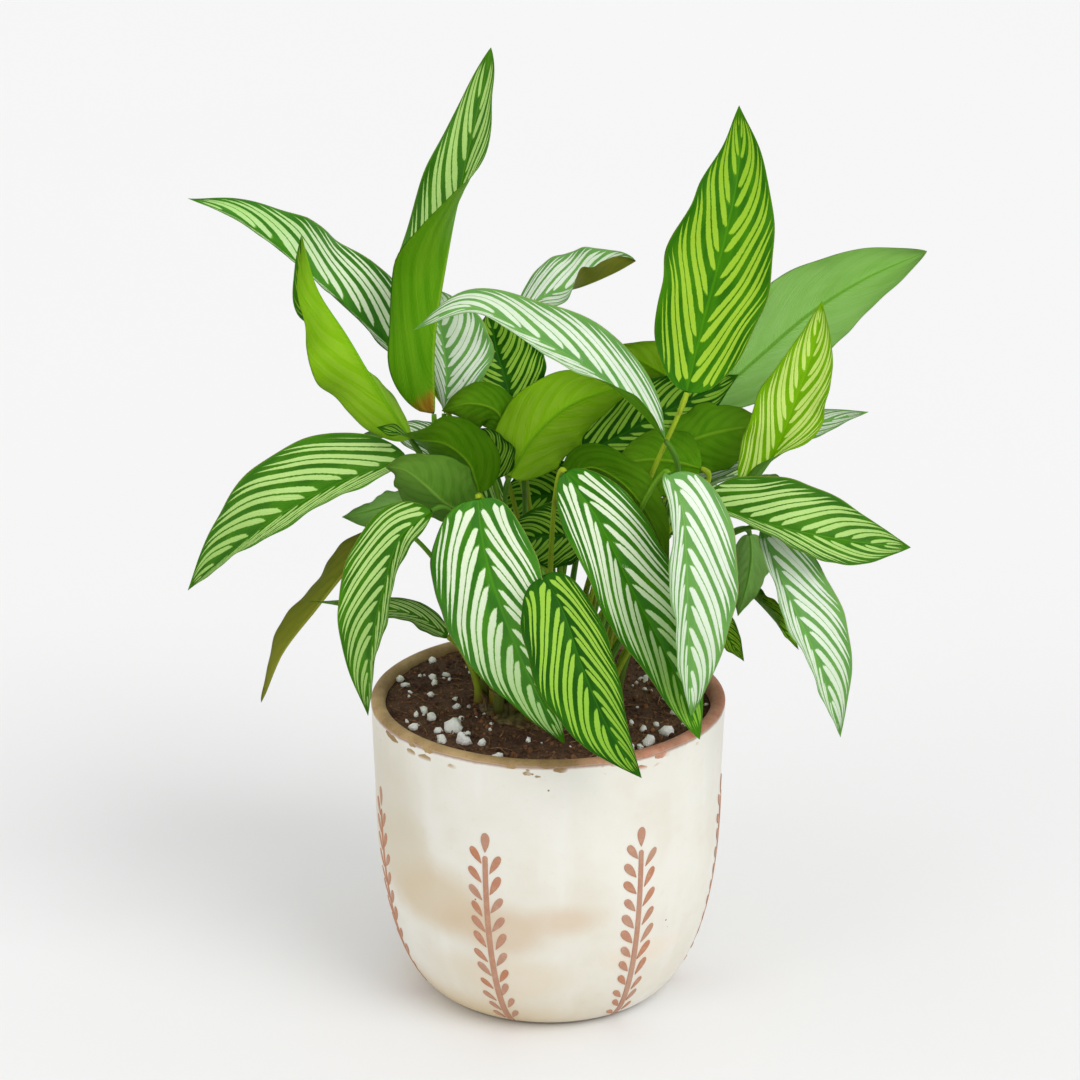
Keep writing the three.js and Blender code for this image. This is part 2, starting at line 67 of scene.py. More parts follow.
# How the plant was photographed: the camera looks down at it from a little way off.
PHOTO_SIDE = 1080
CAMERA = Sizes(pitch=19.47, distance=1350, aim=(-3.7, 0, 212.7), focal_pixels=3047, clip=(0.05, 40))
SENSOR_WIDTH = 36

# Bumps (wander, rough) are layers of a size, a seed and a height.
POT = Sizes(
    height=140, rim=80, belly=78.7, belly_height=98.7, foot=47.6, lower_power=2.26, upper_power=2.07,
    wall=6.3, lip_round=2.4, floor=9, rows=70, inner_rows=46, lip_rows=15, segments=192,
    flat_foot=0.6, flat_floor=20, wander=((46, 1, 0.22), (15, 2, 0.05)), wander_middle=0.15,
)
SOIL = Sizes(
    top=134, rings=64, crowding=0.8, segments=200, under_top=4, side_rows=12, clear_of_wall=0.15,
    bank=3.0, bank_azimuth=125, bank_reach=(30, 74), sunk_edge=0.8, edge_reach=(60, 73), roughness=0.9,
    rough=((17, 11, 0.9), (6, 12, 0.6), (2.4, 13, 0.45)),
)
CROWN = Sizes(
    radius=34, thickness=4, sunk=1.2, swollen=1.6, edge_power=2.4, rings=22, segments=90,
    rough=((9, 61, 1.0), (3, 62, 0.6)),
)
SHEATH = Sizes(
    count=34, away=(8, 31), foot=2, height=(7, 19), width=(2.2, 4.2), lean=(0.15, 0.8), curl=0.9,
    rows=9, columns=6, thickness=0.28,
)
GAP = 0.3
STEM_FOOT = SOIL.top + GAP + CROWN.thickness + GAP

# A leaf's blade: how finely it is made, how thick it is and how its surface swells between the veins.
BLADE = Sizes(
    stations=74, crowding=0.5,
    columns=(0, 0.022, 0.055, 0.12, 0.21, 0.32, 0.44, 0.56, 0.68, 0.79, 0.89, 0.96, 1),
    middle=0.24, margin=0.12, groove=0.22, keel=0.62, swell=0.2, flattest=0.1, ripple_lag=1.9,
    fine_ripple=0.35, fine_waves=7.5, scallop=0.018, groove_width=0.03, keel_width=0.035,
)
# Steps that measure which way the blade's surface looks, all just inside its outline.
PROBE = Sizes(along=0.003, across=0.015, inset=0.98, inside=(0.004, 0.996))
STEM = Sizes(
    root=1.7, base=1.05, thinnest_at=0.7, sheath=0.9, sheath_top=0.16,
    joint=0.32, joint_at=0.93, joint_width=0.045, sides=12, rings=44,
)
# Where a leaf's parts lie on its baked picture: left edges of the two faces, their breadth and height.
BAKE = Sizes(upper=0.005, lower=0.455, breadth=0.44, foot=0.01, height=0.98)
BAKE_STEM = Sizes(left=0.91, breadth=0.08, foot=0.02, height=0.96)
# Run of the veins: how many pairs of bars, how much wider they are near the base, and how the veins lean,
# sweep and curve out to the margin, gather at the base, steepen towards the tip and drift at random.
VEINS = Sizes(pairs=6.2, wider=0.2, lean=0.32, sweep=0.38, curve=1.8, gather=0.16, steeper=0.55, drift=0.2)

# The pale bars come in pairs, one pair between neighbouring veins. For each bar of a pair: its centre and
# half breadth as shares of the pair, and where it begins and ends between midrib and margin.
BARS = ((0.20, 0.166, 0.035, 0.98), (0.586, 0.156, 0.06, 0.96))
# How far a bar's beginning, end and centre stray at random; its least breadth and what chance adds; the
# lengths and roundness of its ends, what is trimmed off so that they close, how jagged its edge is, and
# how much rougher than the green its surface is.
BAR = Sizes(
    begins=0.06, ends=0.1, centre=0.02, slimmest=0.92, broader=0.16,
    root=0.12, root_power=0.55, tip=0.26, tip_power=0.6, trim=0.05, jag=0.075, rougher=0.06,
)

# Sprigs painted up the pot's wall: leaflets beside a stem, with a bud on top. A stroke's pad is given ring by
# ring: its share of the outline, and how far it stands out as a share of the relief.
SPRIG = Sizes(
    count=7, first_azimuth=-20.5, bud=(95, 104.5), bud_width=4.1, stem=(3, 93.5), stem_width=2.9,
    stem_top=0.42, leaflet_points=28, relief=0.2, foot_share=0.72, lean=(4.5, 0.5, -1, 2, -2, 1, 1.5),
    pad=((1, -0.6), (0.97, 0.6), (0.86, 1), (0.45, 1)),
    left=dict(length=9.4, width=3.7, tilt=38, first=4, spacing=8.9, gap=0.9),
    right=dict(length=10.2, width=3.4, tilt=30, first=8.5, spacing=10.2, gap=1.1),
)

# What is strewn on the soil besides the grains in the tables below.
LOOSE_GRAINS = 58
CRUMBS = 2600
FIBRES = 150
FIBRE = Sizes(
    length=(5, 22), radius=(0.14, 0.34), narrowing=0.7, curl=1.3, lift=0.4, arch=1.6, rings=9,
    sides=5, within=71,
)

FLOOR = Sizes(radius=9000, sides=96)

# What most leaves share; a leaf below states only what differs.
#   upper, under  the finishes of its two faces
#   outline       where the blade is widest, roundness of its base, taper of its tip
#   ripple        height of the wavy margin, waves per side, phase
#   left, right   how each half bends up from the midrib, in degrees, from base to tip:
#                 lift at the midrib, further bend out to the margin
#   arch          how strongly the stem first heads straight up, and then turns into line with the blade,
#                 as shares of the way from the crown to the blade's base
LEAF = dict(
    upper="shaded", under="mid",
    outline=(0.75, 0.62, 0.98), ripple=(1, 3, 0.2), left=(12, 10), right=(12, 10), arch=(0.45, 0.18),
)


def grow(root, half, midrib, facing, **differing):
    return {**LEAF, "root": root, "half": half, "midrib": midrib, "facing": facing, **differing}


# Each leaf: where its stem stands on the crown, the widths of its left and right halves (one number where
# they are the same), points along the midrib from base to tip, which way the upper face looks, and what
# differs from most leaves.
LEAVES = {
    "leaf_01_tall_left": grow(
        (-12,2), (21,24), [(-50,0,271),(-50,8,302),(-43,22,344),(-33,36,387),(-25,48,423)],
        [(-1,-0.1,0.1),(-0.9,-0.4,0.1),(-0.55,-0.8,0.25),(-0.3,-0.9,0.25)], upper="cream", under="scarred",
        outline=(0.75,0.5,0.85), ripple=(4,3.2,0.1), left=[(60,20),(45,20),(15,10),(5,0)],
        right=[(70,60),(65,65),(30,20),(10,5)]),
    "leaf_02_upper_left": grow(
        (-20,15), (6.5,27), [(-55,38,275),(-88,24,312),(-111,7,339),(-133,-2,359),(-153,-8,369)],
        (0,-0.3,0.95), upper="white", outline=(0.75,0.5,1.05), left=(8,4), right=[(40,0),(40,0),(32,0)]),
    "leaf_03_bright_left": grow(
        (-21,-2), (23,21), [(-60,-8,262),(-73,-8,283),(-87,-7,308),(-99,-8,329),(-105,-10,354)],
        [(0.2,0.97,0.1),(0.1,0.97,0.1),(-0.6,0.7,0),(-1,0,-0.3),(-0.7,-0.7,0)], upper="lime",
        under="bright", left=[(80,30),(90,30),(60,20),(20,10)], right=[(5,5),(10,10),(55,30)]),
    "leaf_04_broad_left": grow(
        (-24,-10), 24.5, [(-61,-14,255),(-88,-20,247),(-116,-25,233),(-141,-20,212),(-159,-14,194)],
        (0,-0.62,0.79), upper="cream", outline=(0.75,0.8,0.98), left=(42,5), right=(28,5)),
    "leaf_05_curled_left": grow(
        (-8,-4), 15, [(-30,-10,238),(-35,-12,253),(-45,-14,262),(-57,-17,265),(-74,-19,271)],
        [(0.3,0.8,0.5),(0.1,0.9,0.4),(0.1,0.9,0.4),(0,0.3,0.9),(0,-0.8,0.6)]),
    "leaf_06_folded_left": grow(
        (-14,-16), 19, [(-34,-26,233),(-45,-28,240),(-53,-29,248),(-62,-32,256),(-70,-34,258)],
        [(0.2,0.9,0.4),(0.1,0.9,0.3),(0.1,0.9,0.3)], under="grey"),
    "leaf_07_hanging_left": grow(
        (-22,-20), 19, [(-50,-34,238),(-63,-38,228),(-71,-42,205),(-77,-42,177),(-79,-40,145)],
        (-0.63,-0.74,0.2), upper="cream", outline=(0.75,0.75,0.98), left=(25,25), right=(22,30)),
    "leaf_08_front_left": grow(
        (-8,-28), (24.5,29), [(-30,-44,247),(-28,-52,231),(-21,-60,206),(-8,-64,173),(7,-64,142)],
        [(-0.3,-0.85,0.4),(-0.35,-0.9,0.2),(-0.35,-0.9,0.2)], upper="white", outline=(0.75,0.5,0.98),
        arch=(0.45,0.1), left=[(15,-10),(14,-10),(28,0)], right=(0,-12)),
    "leaf_09_narrow_left": grow(
        (-28,0), 12, [(-73,12,213),(-86,14,199),(-105,16,174),(-121,16,152),(-131,14,129)], (-0.2,0.9,0.3),
        upper="lime", under="olive", outline=(0.75,0.62,0.65), ripple=(2,2.2,0.3), left=(55,30),
        right=(55,30)),
    "leaf_10_small_left": grow(
        (-31,-8), 6.5, [(-45,-5,169),(-57,-8,179),(-72,-10,184),(-90,-12,187),(-107,-14,189)], (0,-0.6,0.8),
        upper="cream", outline=(0.6,0.62,1.6)),
    "leaf_11_front_centre": grow(
        (4,-30), (14,22), [(-2,-68,221),(6,-79,209),(14,-89,188),(25,-96,163),(39,-100,142)],
        (0.05,-0.97,0.2), outline=(0.75,0.5,0.98), left=(10,-20),
        right=[(20,-25),(30,-20),(20,-10),(10,0)]),
    "leaf_12_front_right": grow(
        (0,-20), (20.5,19), [(7,-35,256),(21,-46,238),(36,-57,209),(52,-63,179),(65,-66,145)],
        (0,-0.95,0.3), upper="fresh", outline=(0.75,0.65,0.85), ripple=(1.5,2.5,0), arch=(0.45,0.09),
        left=(10,-35), right=[(20,-20),(40,-10),(35,0),(0,0)]),
    "leaf_13_pale_front_right": grow(
        (18,-31), 22, [(51,-44,258),(56,-54,247),(58,-63,226),(59,-67,195),(61,-66,156)], (0.57,-0.8,0.15),
        upper="pale", outline=(0.75,0.6,0.85), arch=(0.45,0.09), left=(25,20), right=(25,20)),
    "leaf_14_right": grow(
        (24,-12), 21.5, [(67,-20,237),(84,-27,233),(104,-30,228),(131,-28,222),(158,-22,217)],
        (0,-0.62,0.79), upper="cream", left=(28,5), right=[(60,0),(45,0),(15,0),(0,0)]),
    "leaf_15_hanging_right": grow(
        (22,-22), 19, [(92,-30,228),(98,-38,214),(106,-46,197),(116,-52,176),(127,-52,140)],
        (0.6,-0.78,0.1), upper="pale", arch=(0.45,0.09), left=(28,20), right=(28,20)),
    "leaf_16_tall_right": grow(
        (20,-16), 23.5, [(59,-24,288),(66,-12,315),(76,2,351),(82,16,380),(82,26,402)], (0.1,-0.95,0.3),
        upper="lime", ripple=(3,3.2,0.3), arch=(0.45,0.1), left=(5,8), right=(5,8)),
    "leaf_17_back_right": grow(
        (17,10), 22, [(71,33,266),(93,38,285),(118,42,306),(142,44,321),(168,44,333)], (-0.1,0.95,-0.1),
        upper="lime", under="silver", outline=(0.75,0.62,0.8)),
    "leaf_18_lime_right": grow(
        (24,-3), 17, [(87,-8,237),(99,-4,255),(107,0,275),(115,6,298),(119,12,319)], (0,-0.8,0.5),
        upper="sunlit", right=[(100,40),(20,20),(10,10)]),
    "leaf_19_centre_arch": grow(
        (16,-20), (23.5,18),
        [(50,-29,268),(39,-31,282),(17,-36,302),(-8,-40,318),(-33,-42,330),(-57,-44,321)], (0,-0.54,0.84),
        upper="pale", outline=(0.75,1.3,1.05), ripple=(1.2,2.5,0.5), arch=(0.45,0.3),
        left=[(60,16),(30,16),(30,16)], right=(30,16)),
    "leaf_20_back_centre": grow(
        (4,22), 18, [(-16,45,302),(-1,45,312),(16,46,317),(30,46,323),(39,46,328)], (0,-0.1,1),
        upper="pale", under="olive", outline=(1.1,0.9,0.6), left=(45,0),
        right=[(-10,0),(0,0),(45,0),(60,0)]),
    "leaf_21_pale_inner_left": grow(
        (-12,18), (8,22), [(-46,14,267),(-45,18,279),(-46,22,294),(-49,24,309),(-54,26,322)],
        (0.1,-0.9,0.4), upper="pale", outline=(0.95,1,0.98)),
    "leaf_22_inner_left": grow(
        (-4,14), 20, [(-16,22,268),(-19,26,279),(-23,30,292),(-25,32,305),(-26,32,310)], (0.1,-0.9,0.4)),
    "leaf_23_bright_centre": grow(
        (-1,3), (24,18), [(-17,0,242),(-8,6,257),(7,12,270),(23,16,276),(40,18,279)], (-0.2,0.95,0.1),
        upper="lime", under="bright"),
    "leaf_24_bright_back": grow(
        (10,17), 15, [(68,42,265),(57,40,274),(45,38,282),(35,36,288),(28,36,292)], (0,0.95,0.2),
        upper="lime", under="bright"),
    "leaf_25_inner_right": grow(
        (7,9), 18, [(16,22,246),(32,26,253),(50,29,262),(68,31,270),(85,34,279)], (0,-0.9,0.45)),
    "leaf_26_underside_right": grow(
        (16,0), 17, [(55,10,252),(63,12,255),(74,14,258),(87,16,260),(100,18,261)], (0,0.8,-0.6)),
    "leaf_27_underside_front": grow(
        (5,-3), 12, [(8,-12,244),(18,-19,253),(30,-27,250),(43,-33,236),(52,-37,215)], (0.2,0.9,0.4)),
    "leaf_28_shaded_low": grow(
        (9,-22), 15, [(18,-10,219),(5,-11,219),(-8,-11,217),(-20,-10,210)], (0,-0.95,0.3)),
    "leaf_29_small_inner_left": grow(
        (-8,6), 12, [(-24,0,241),(-26,1,251),(-30,2,259),(-35,2,263)], (0,-0.95,0.3)),
    "leaf_30_slender_right": grow(
        (23,6), 11, [(64,26,234),(84,30,243),(104,32,251),(124,34,257),(144,36,261)], (0,-0.7,0.7),
        upper="pale"),
    "leaf_31_small_hanging_right": grow(
        (31,-8), 9, [(89,-2,216),(90,0,206),(89,2,193),(85,4,175)], (0,0.9,-0.2), under="silver"),
    "leaf_32_rolled_right": grow(
        (30,2), 8, [(83,12,191),(90,12,184),(98,10,176),(113,6,158)], (0,-0.5,0.8), upper="lime",
        under="grey", left=[(60,60),(55,40),(25,15)], right=[(60,60),(55,40),(25,15)]),
    "leaf_33_olive_left": grow(
        (-27,8), 11, [(-57,0,232),(-68,4,228),(-81,8,223),(-92,10,220)], (0,0.6,-0.8), under="silver"),
    "leaf_34_small_low_right": grow(
        (27,-16), 7, [(69,-20,192),(74,-24,183),(81,-26,173),(86,-28,166)], (0,-0.6,0.8), upper="lime"),
    "leaf_35_underside_inner_left": grow(
        (-13,11), 11, [(-18,10,262),(-24,10,270),(-35,9,273),(-47,8,270)], (0,0.95,-0.3)),
    "leaf_36_underside_inner_right": grow(
        (11,-6), 16, [(67,0,246),(56,0,249),(43,0,250),(28,0,247)], (0,0.9,-0.4)),
    "leaf_37_rear_centre": grow(
        (3,29), 19, [(14,36,240),(10,62,250),(6,90,238),(2,112,205)], (0,0.3,0.95), upper="white"),
    "leaf_38_rear_right": grow(
        (12,25), 19, [(40,34,240),(46,60,252),(52,88,244),(58,112,215)], (0,0.3,0.95), upper="cream"),
    "leaf_39_rear_low_right": grow(
        (22,19), 17, [(55,28,205),(72,50,214),(86,74,208),(98,94,186)], (0.2,0.2,0.95), upper="cream"),
    "leaf_40_rear_left": grow(
        (-12,29), 14, [(-22,32,214),(-38,50,225),(-52,70,221),(-62,88,199)], (-0.2,0.2,0.95),
        upper="cream"),
    "leaf_41_shaded_back": grow(
        (16,18), 17, [(22,54,208),(8,55,214),(-8,55,214),(-24,54,206)], (0,-0.95,0.3)),
    "leaf_42_rear_high_centre": grow(
        (-4,24), 18, [(-24,44,250),(-28,60,266),(-32,80,268),(-36,100,254)], (0,0.1,1), upper="white"),
    "leaf_43_rear_high_right": grow(
        (8,28), 18, [(32,49,256),(42,67,272),(54,87,272),(66,105,256)], (0,0.1,1), upper="cream"),
    "leaf_44_rear_low_left": grow(
        (-24,12), 17, [(-44,30,236),(-64,44,246),(-86,56,240),(-104,66,218)], (-0.2,0.2,0.95),
        upper="white"),
    "leaf_45_rear_side_right": grow(
        (22,14), 16, [(56,28,219),(78,42,227),(98,58,221),(114,72,201)], (0.2,0.2,0.95), upper="cream"),
    "leaf_46_rear_low_centre": grow(
        (-2,30), 16, [(0,44,190),(2,66,198),(6,88,190),(10,106,168)], (0,0.3,0.95), upper="cream"),
}

# Perlite grains that are solids of their own, and the small ones that the photographed side shows:
# x, y and size.
GRAINS = [
    (-42, -31, 5.5), (-37, -45, 4.5), (-52, -20, 3.6), (-47, -43, 3.2), (-22, -62, 3.2), (44, -45, 5),
    (52, -34, 4), (34, -54, 4.4), (-60, -30, 3),
]
SMALL_GRAINS = [
    (-65, 17, 2.6), (-68, 24, 3), (-54, 46, 3.2), (-47, 29, 2.4), (-52, 19, 2.8), (-53, 7, 3.2),
    (-42, 4, 2.4), (-41, -6, 3), (-39, -19, 2.4), (-59, -17, 2.2), (-49, -33, 2.6), (-36, -36, 2.4),
    (-29, -46, 3), (-9, -42, 2.4), (37, -24, 2.4), (42, -30, 2.8), (48, -24, 2.4), (56, -12, 2.6),
    (40, -50, 2.2), (26, -60, 2.4), (66, -10, 2.6), (-14, -66, 2), (8, -66, 2.4), (60, -24, 2.2),
]

# ---- colours ----

# Upper faces: colours of the dark green, the bars, their fringe, the margin and the rim; how broad the bars
# are, how much they turn to the fringe's colour towards the tip, and the shader's roughness and specular.
BLADE_FINISHES = {
    "pale": ((100, 160, 72), (240, 250, 234), (188, 222, 156),
        (126, 186, 80), (200, 216, 118), 1.04, 0.3, 0.28, 0.4),
    "white": ((44, 114, 0), (240, 252, 222), (152, 214, 76),
        (80, 156, 0), (192, 210, 96), 0.97, 0.75, 0.26, 0.24),
    "fresh": ((44, 112, 0), (238, 250, 220), (134, 192, 42),
        (80, 152, 0), (186, 206, 88), 0.96, 0.95, 0.3, 0.16),
    "cream": ((48, 108, 0), (196, 230, 140), (126, 180, 48),
        (84, 150, 0), (180, 200, 80), 0.95, 0.4, 0.34, 0.18),
    "lime": ((42, 104, 0), (160, 200, 54), (104, 160, 10),
        (78, 146, 0), (166, 190, 56), 0.96, 0.3, 0.42, 0.08),
    "sunlit": ((112, 170, 0), (212, 238, 128), (160, 206, 40),
        (130, 186, 2), (190, 204, 84), 0.96, 0.3, 0.42, 0.1),
    "shaded": ((24, 80, 0), (158, 204, 70), (88, 146, 16),
        (52, 118, 0), (134, 164, 48), 0.94, 0.4, 0.42, 0.1),
}
# Undersides: colours of the tissue, of bars that show through and of the midrib; how much they show, and
# whether the base is scarred.
UNDERSIDE_FINISHES = {
    # bright: painted light, the tissue coloured as it glows when lit through from behind
    "bright": ((138, 194, 12), (172, 214, 66), (116, 176, 16), 0.35, 0),
    "grey": ((86, 138, 34), (116, 166, 62), (122, 166, 62), 0.3, 0),
    "silver": ((152, 208, 104), (172, 220, 134), (104, 166, 40), 0.2, 0),
    "olive": ((112, 122, 22), (142, 150, 46), (150, 152, 50), 0.25, 0),
    "mid": ((80, 142, 0), (114, 172, 26), (128, 176, 32), 0.35, 0),
    "scarred": ((80, 142, 0), (114, 172, 26), (128, 176, 32), 0.35, 1),
}
# Stems: two greens, and the brown at the foot. Soils: damp, dry and crumbs.
STEM_FINISHES = {
    "yellow_green": ((166, 190, 40), (122, 162, 30), (120, 92, 40)),
    "green": ((110, 160, 30), (80, 130, 22), (100, 84, 38)),
    "olive": ((146, 164, 38), (104, 136, 32), (116, 86, 40)),
    "dark_green": ((84, 132, 34), (60, 102, 24), (88, 76, 38)),
}
SOIL_COLOURS = {
    "damp": ((74, 51, 38), (108, 79, 59), (143, 110, 82)),
    "loamy": ((95, 69, 51), (128, 97, 72), (169, 133, 100)),
    "bark": ((113, 74, 49), (159, 113, 77), (192, 143, 100)),
}

# Where the clay is bare, in metres, from none to full: the lip, the dark line and the chips under it, the
# foot's underside, and everything that is both inside a radius and above a height.
BARE = Sizes(
    lip=(0.1378, 0.1383), line=(0.1362, 0.1377), chips=(0.1315, 0.1340), foot=(0.0009, 0.0004),
    radius=(0.0752, 0.0748), above=(0.1, 0.11),
)

# Warm washes in the glaze: where each is centred, how far it reaches sideways and up, strength, colour.
STAINS = [
    ((-74, -28, 108), (24, 44), 0.58, (206, 198, 176)), ((-66, -38, 80), (20, 30), 0.63, (210, 198, 170)),
    ((-48, -58, 66), (30, 22), 0.70, (212, 192, 158)),
    ((-22, -72, 58), (34, 18), 0.70, (212, 188, 156)), ((8, -76, 64), (24, 12), 0.63, (216, 192, 164)),
    ((-20, -66, 32), (44, 16), 0.50, (222, 204, 172)), ((40, -60, 40), (24, 10), 0.34, (238, 214, 190)),
    ((36, 68, 84), (34, 22), 0.50, (214, 196, 166)), ((-38, 66, 52), (32, 17), 0.50, (220, 200, 170)),
]

# Room light, and soft suns: elevation and azimuth in degrees (0 shines from the front), strength, spread.
LIGHT = Sizes(room=0.80, suns=dict(key=(46, 46, 1.1, 34), side=(34, -46, 0.2, 22)))

# ---- shaping helpers ----

def unit(vectors):
    return vectors / np.linalg.norm(vectors, axis=-1, keepdims=True)


def smooth(share):
    share = np.clip(share, 0, 1)
    return share * share * (3 - 2 * share)


def ramp(value, low, high):
    return smooth((np.asarray(value, float) - low) / (high - low))


def stations_at(stations, t):
    """Values at shares t of a list of evenly spaced stations (or of a single one), eased between them."""
    stations = np.atleast_2d(np.array(stations, float))
    last = len(stations) - 1
    if last == 0:
        return np.repeat(stations, len(t), axis=0)
    at = np.clip(t, 0, 1) * last
    low = np.minimum(np.floor(at).astype(int), last - 1)
    ease = smooth(at - low)[:, None]
    return stations[low] * (1 - ease) + stations[low + 1] * ease


def through(points, at):
    """Places on the smooth (centripetal Catmull-Rom) line through the points, at 0 ... 1."""
    points = np.array(points, float)
    last = len(points) - 1
    padded = np.vstack([2 * points[0] - points[1], points, 2 * points[last] - points[last - 1]])
    at = np.clip(at, 0, 1) * last
    low = np.minimum(at.astype(int), last - 1)
    share = (at - low)[:, None]
    before, start, end, after = (padded[low + step] for step in range(4))
    into, span, out = (np.sum((b - a) ** 2, axis=1, keepdims=True) ** 0.25
                       for a, b in ((before, start), (start, end), (end, after)))
    leave = ((start - before) / into - (end - before) / (into + span)) * span + end - start
    reach = ((after - end) / out - (after - start) / (span + out)) * span + end - start
    return (start + leave * share + (3 * (end - start) - 2 * leave - reach) * share ** 2
            + (2 * (start - end) + leave + reach) * share ** 3)


def even_line(points, t):
    """Places and directions at shares t of the length of the smooth line through the points."""
    fine = np.linspace(0, 1, 241)
    steps = np.linalg.norm(np.diff(through(points, fine), axis=0), axis=1)
    length = np.concatenate([[0], np.cumsum(steps)])
    at = np.interp(np.asarray(t) * length[-1], length, fine)
    ahead, behind = through(points, at + 0.001), through(points, at - 0.001)
    return through(points, at), unit(ahead - behind), length[-1]


def add_object(name, data):
    made = bpy.data.objects.new(name, data)
    bpy.context.collection.objects.link(made)
    return made


def add_mesh(name, points, faces, materials, face_materials=None):
    """A smooth-shaded object from points in millimetres."""
    mesh = bpy.data.meshes.new(name)
    mesh.from_pydata([tuple(point) for point in np.asarray(points) * MM], [], faces)
    for material in materials:
        mesh.materials.append(material)
    if face_materials is not None:
        mesh.polygons.foreach_set("material_index", face_materials)
    mesh.polygons.foreach_set("use_smooth", [True] * len(mesh.polygons))
    mesh.validate()
    mesh.update()
    return add_object(name, mesh)


def place(piece, slot, *nodes):
    """Every piece stands in the pot, which is one body."""
    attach(piece, "root")
    if nodes:
        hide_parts(*nodes)


def store(piece, name, values):
    """Keeps three numbers for each point of a piece, for its materials to read."""
    layer = piece.data.attributes.new(name, "FLOAT_VECTOR", "POINT")
    layer.data.foreach_set("vector", np.asarray(values, float).ravel())


def grid_faces(rows, columns, first=0, closed=False):
    """Quads between the points of a grid that is stored row by row."""
    faces = []
    for row in range(rows - 1):
        for column in range(columns if closed else columns - 1):
            after = (column + 1) % columns
            a, b = first + row * columns + column, first + row * columns + after
            faces.append((a, b, b + columns, a + columns))
    return faces


def full_turn(count):
    """Evenly spaced angles, once round."""
    return 2 * np.pi * np.arange(count) / count


def bumps(points, size, seed):
    """Smooth random heights, about -1 ... 1, over places that are given in millimetres."""
    shift = Vector((seed * 7.13, seed * 3.71, seed * 1.93))
    return np.array([noise.noise(Vector(point) / size + shift) for point in points])


def roughened(points, layers):
    """Bumps of several sizes added up; each layer is their size, their seed and their height."""
    return sum(bumps(points, size, seed) * height for size, seed, height in layers)


# ---- leaves ----

def outline_share(outline, t):
    """Share of the full half width at share t of the blade."""
    peak, roundness, taper = outline
    swell = np.clip(np.sin(np.pi * np.clip(t, 0, 1) ** peak), 0, 1)
    return np.where(t < 0.5 ** (1 / peak), swell ** roundness, swell ** taper)


def vein_run(t, v):
    """The veins leave the midrib at a slant and sweep on towards the tip: equal numbers, same vein."""
    swept = VEINS.lean * v + VEINS.sweep * v ** VEINS.curve
    start = t - swept * (1 - np.exp(-t / VEINS.gather)) * (1 - t * VEINS.steeper)
    return VEINS.pairs * (start * (1 + VEINS.wider) - start * start * VEINS.wider)


def blade_middle(leaf, t, across, seed):
    """The blade's middle surface: t runs base to tip, across runs -1 (left margin) to 1 (right)."""
    centre, along, _ = even_line(leaf["midrib"], t)
    facing = stations_at(leaf["facing"], t)
    facing = unit(facing - along * np.sum(facing * along, axis=1, keepdims=True))
    side = np.cross(along, facing)
    share = outline_share(leaf["outline"], t)[:, None]
    height, waves, phase = leaf["ripple"]
    widths = np.broadcast_to(leaf["half"], 2)
    surface = np.empty((len(t), len(across), 3))
    for hand, halves, columns in ((-1, leaf["left"], across < 0), (1, leaf["right"], across >= 0)):
        out = np.abs(across[columns])[None, :]
        lift, bend = stations_at(halves, t).T
        bend = np.where(np.abs(bend) < BLADE.flattest, BLADE.flattest, bend)
        start, turn = np.radians(lift)[:, None], np.radians(bend)[:, None]
        beat = 2 * np.pi * (waves * t[:, None] + phase) + (0 if hand < 0 else BLADE.ripple_lag)
        scallop = 1 + BLADE.scallop * np.sin(beat * 1.3 + seed * 6) * np.minimum(1, height)
        reach = widths[0 if hand < 0 else 1] * share * scallop / turn
        fine = 2 * np.pi * BLADE.fine_waves * t[:, None] + seed * 5 + hand * 0.8
        wave = share * (height * out ** 2 * np.sin(beat) + BLADE.fine_ripple * out ** 4 * np.sin(fine))
        angle = start + turn * out
        sideways = (np.sin(angle) - np.sin(start)) * reach - wave * np.sin(angle)
        upward = (np.cos(start) - np.cos(angle)) * reach + wave * np.cos(angle)
        surface[:, columns] = (centre[:, None] + hand * sideways[..., None] * side[:, None]
                               + upward[..., None] * facing[:, None])
    return surface


def stem_rings(leaf):
    """Centres, directions and radii of the stem, from the crown to the underside of the blade."""
    root = np.array([*leaf["root"], STEM_FOOT])
    (base,), (along,), _ = even_line(leaf["midrib"], np.array([0.0]))
    span = np.linalg.norm(base - root)
    rise = root + np.array([0, 0, span * leaf["arch"][0]])
    meet = base - along * span * leaf["arch"][1]
    t = np.linspace(0, 1, STEM.rings)[:, None]
    centre = (1 - t) ** 3 * root + 3 * (1 - t) ** 2 * t * rise + 3 * (1 - t) * t ** 2 * meet + t ** 3 * base
    t = t[:, 0]
    radius = STEM.root + (STEM.base - STEM.root) * ramp(t, 0, STEM.thinnest_at)
    radius += STEM.sheath * (1 - ramp(t, 0, STEM.sheath_top))
    radius += STEM.joint * np.exp(-((t - STEM.joint_at) / STEM.joint_width) ** 2)
    return centre, unit(np.gradient(centre, axis=0)), radius


def tube(centre, along, radius, sides, aslant):
    """A tube round a line, closed at both ends: its points ring by ring, its faces and a ring's angles."""
    across = unit(np.cross(along, aslant))
    over = np.cross(across, along)
    angle = full_turn(sides)
    ring = np.cos(angle)[None, :, None] * across[:, None] - np.sin(angle)[None, :, None] * over[:, None]
    points = (centre[:, None] + ring * radius[:, None, None]).reshape(-1, 3)
    faces = grid_faces(len(centre), sides, closed=True)
    faces += [tuple(range(sides - 1, -1, -1)), tuple(range(len(points) - sides, len(points)))]
    return points, faces, angle


def stem_tube(leaf):
    """The stem's points and faces, and how far up and how far round it each point lies, as shares."""
    centre, along, radius = stem_rings(leaf)
    points, faces, angle = tube(centre, along, radius, STEM.sides, (0.31, 0.94, 0.12))
    shares = np.linspace(0, 1, len(centre))
    places = np.stack(np.broadcast_arrays(shares[:, None], angle[None] / (2 * np.pi)), axis=-1)
    return points, faces, places.reshape(-1, 2)


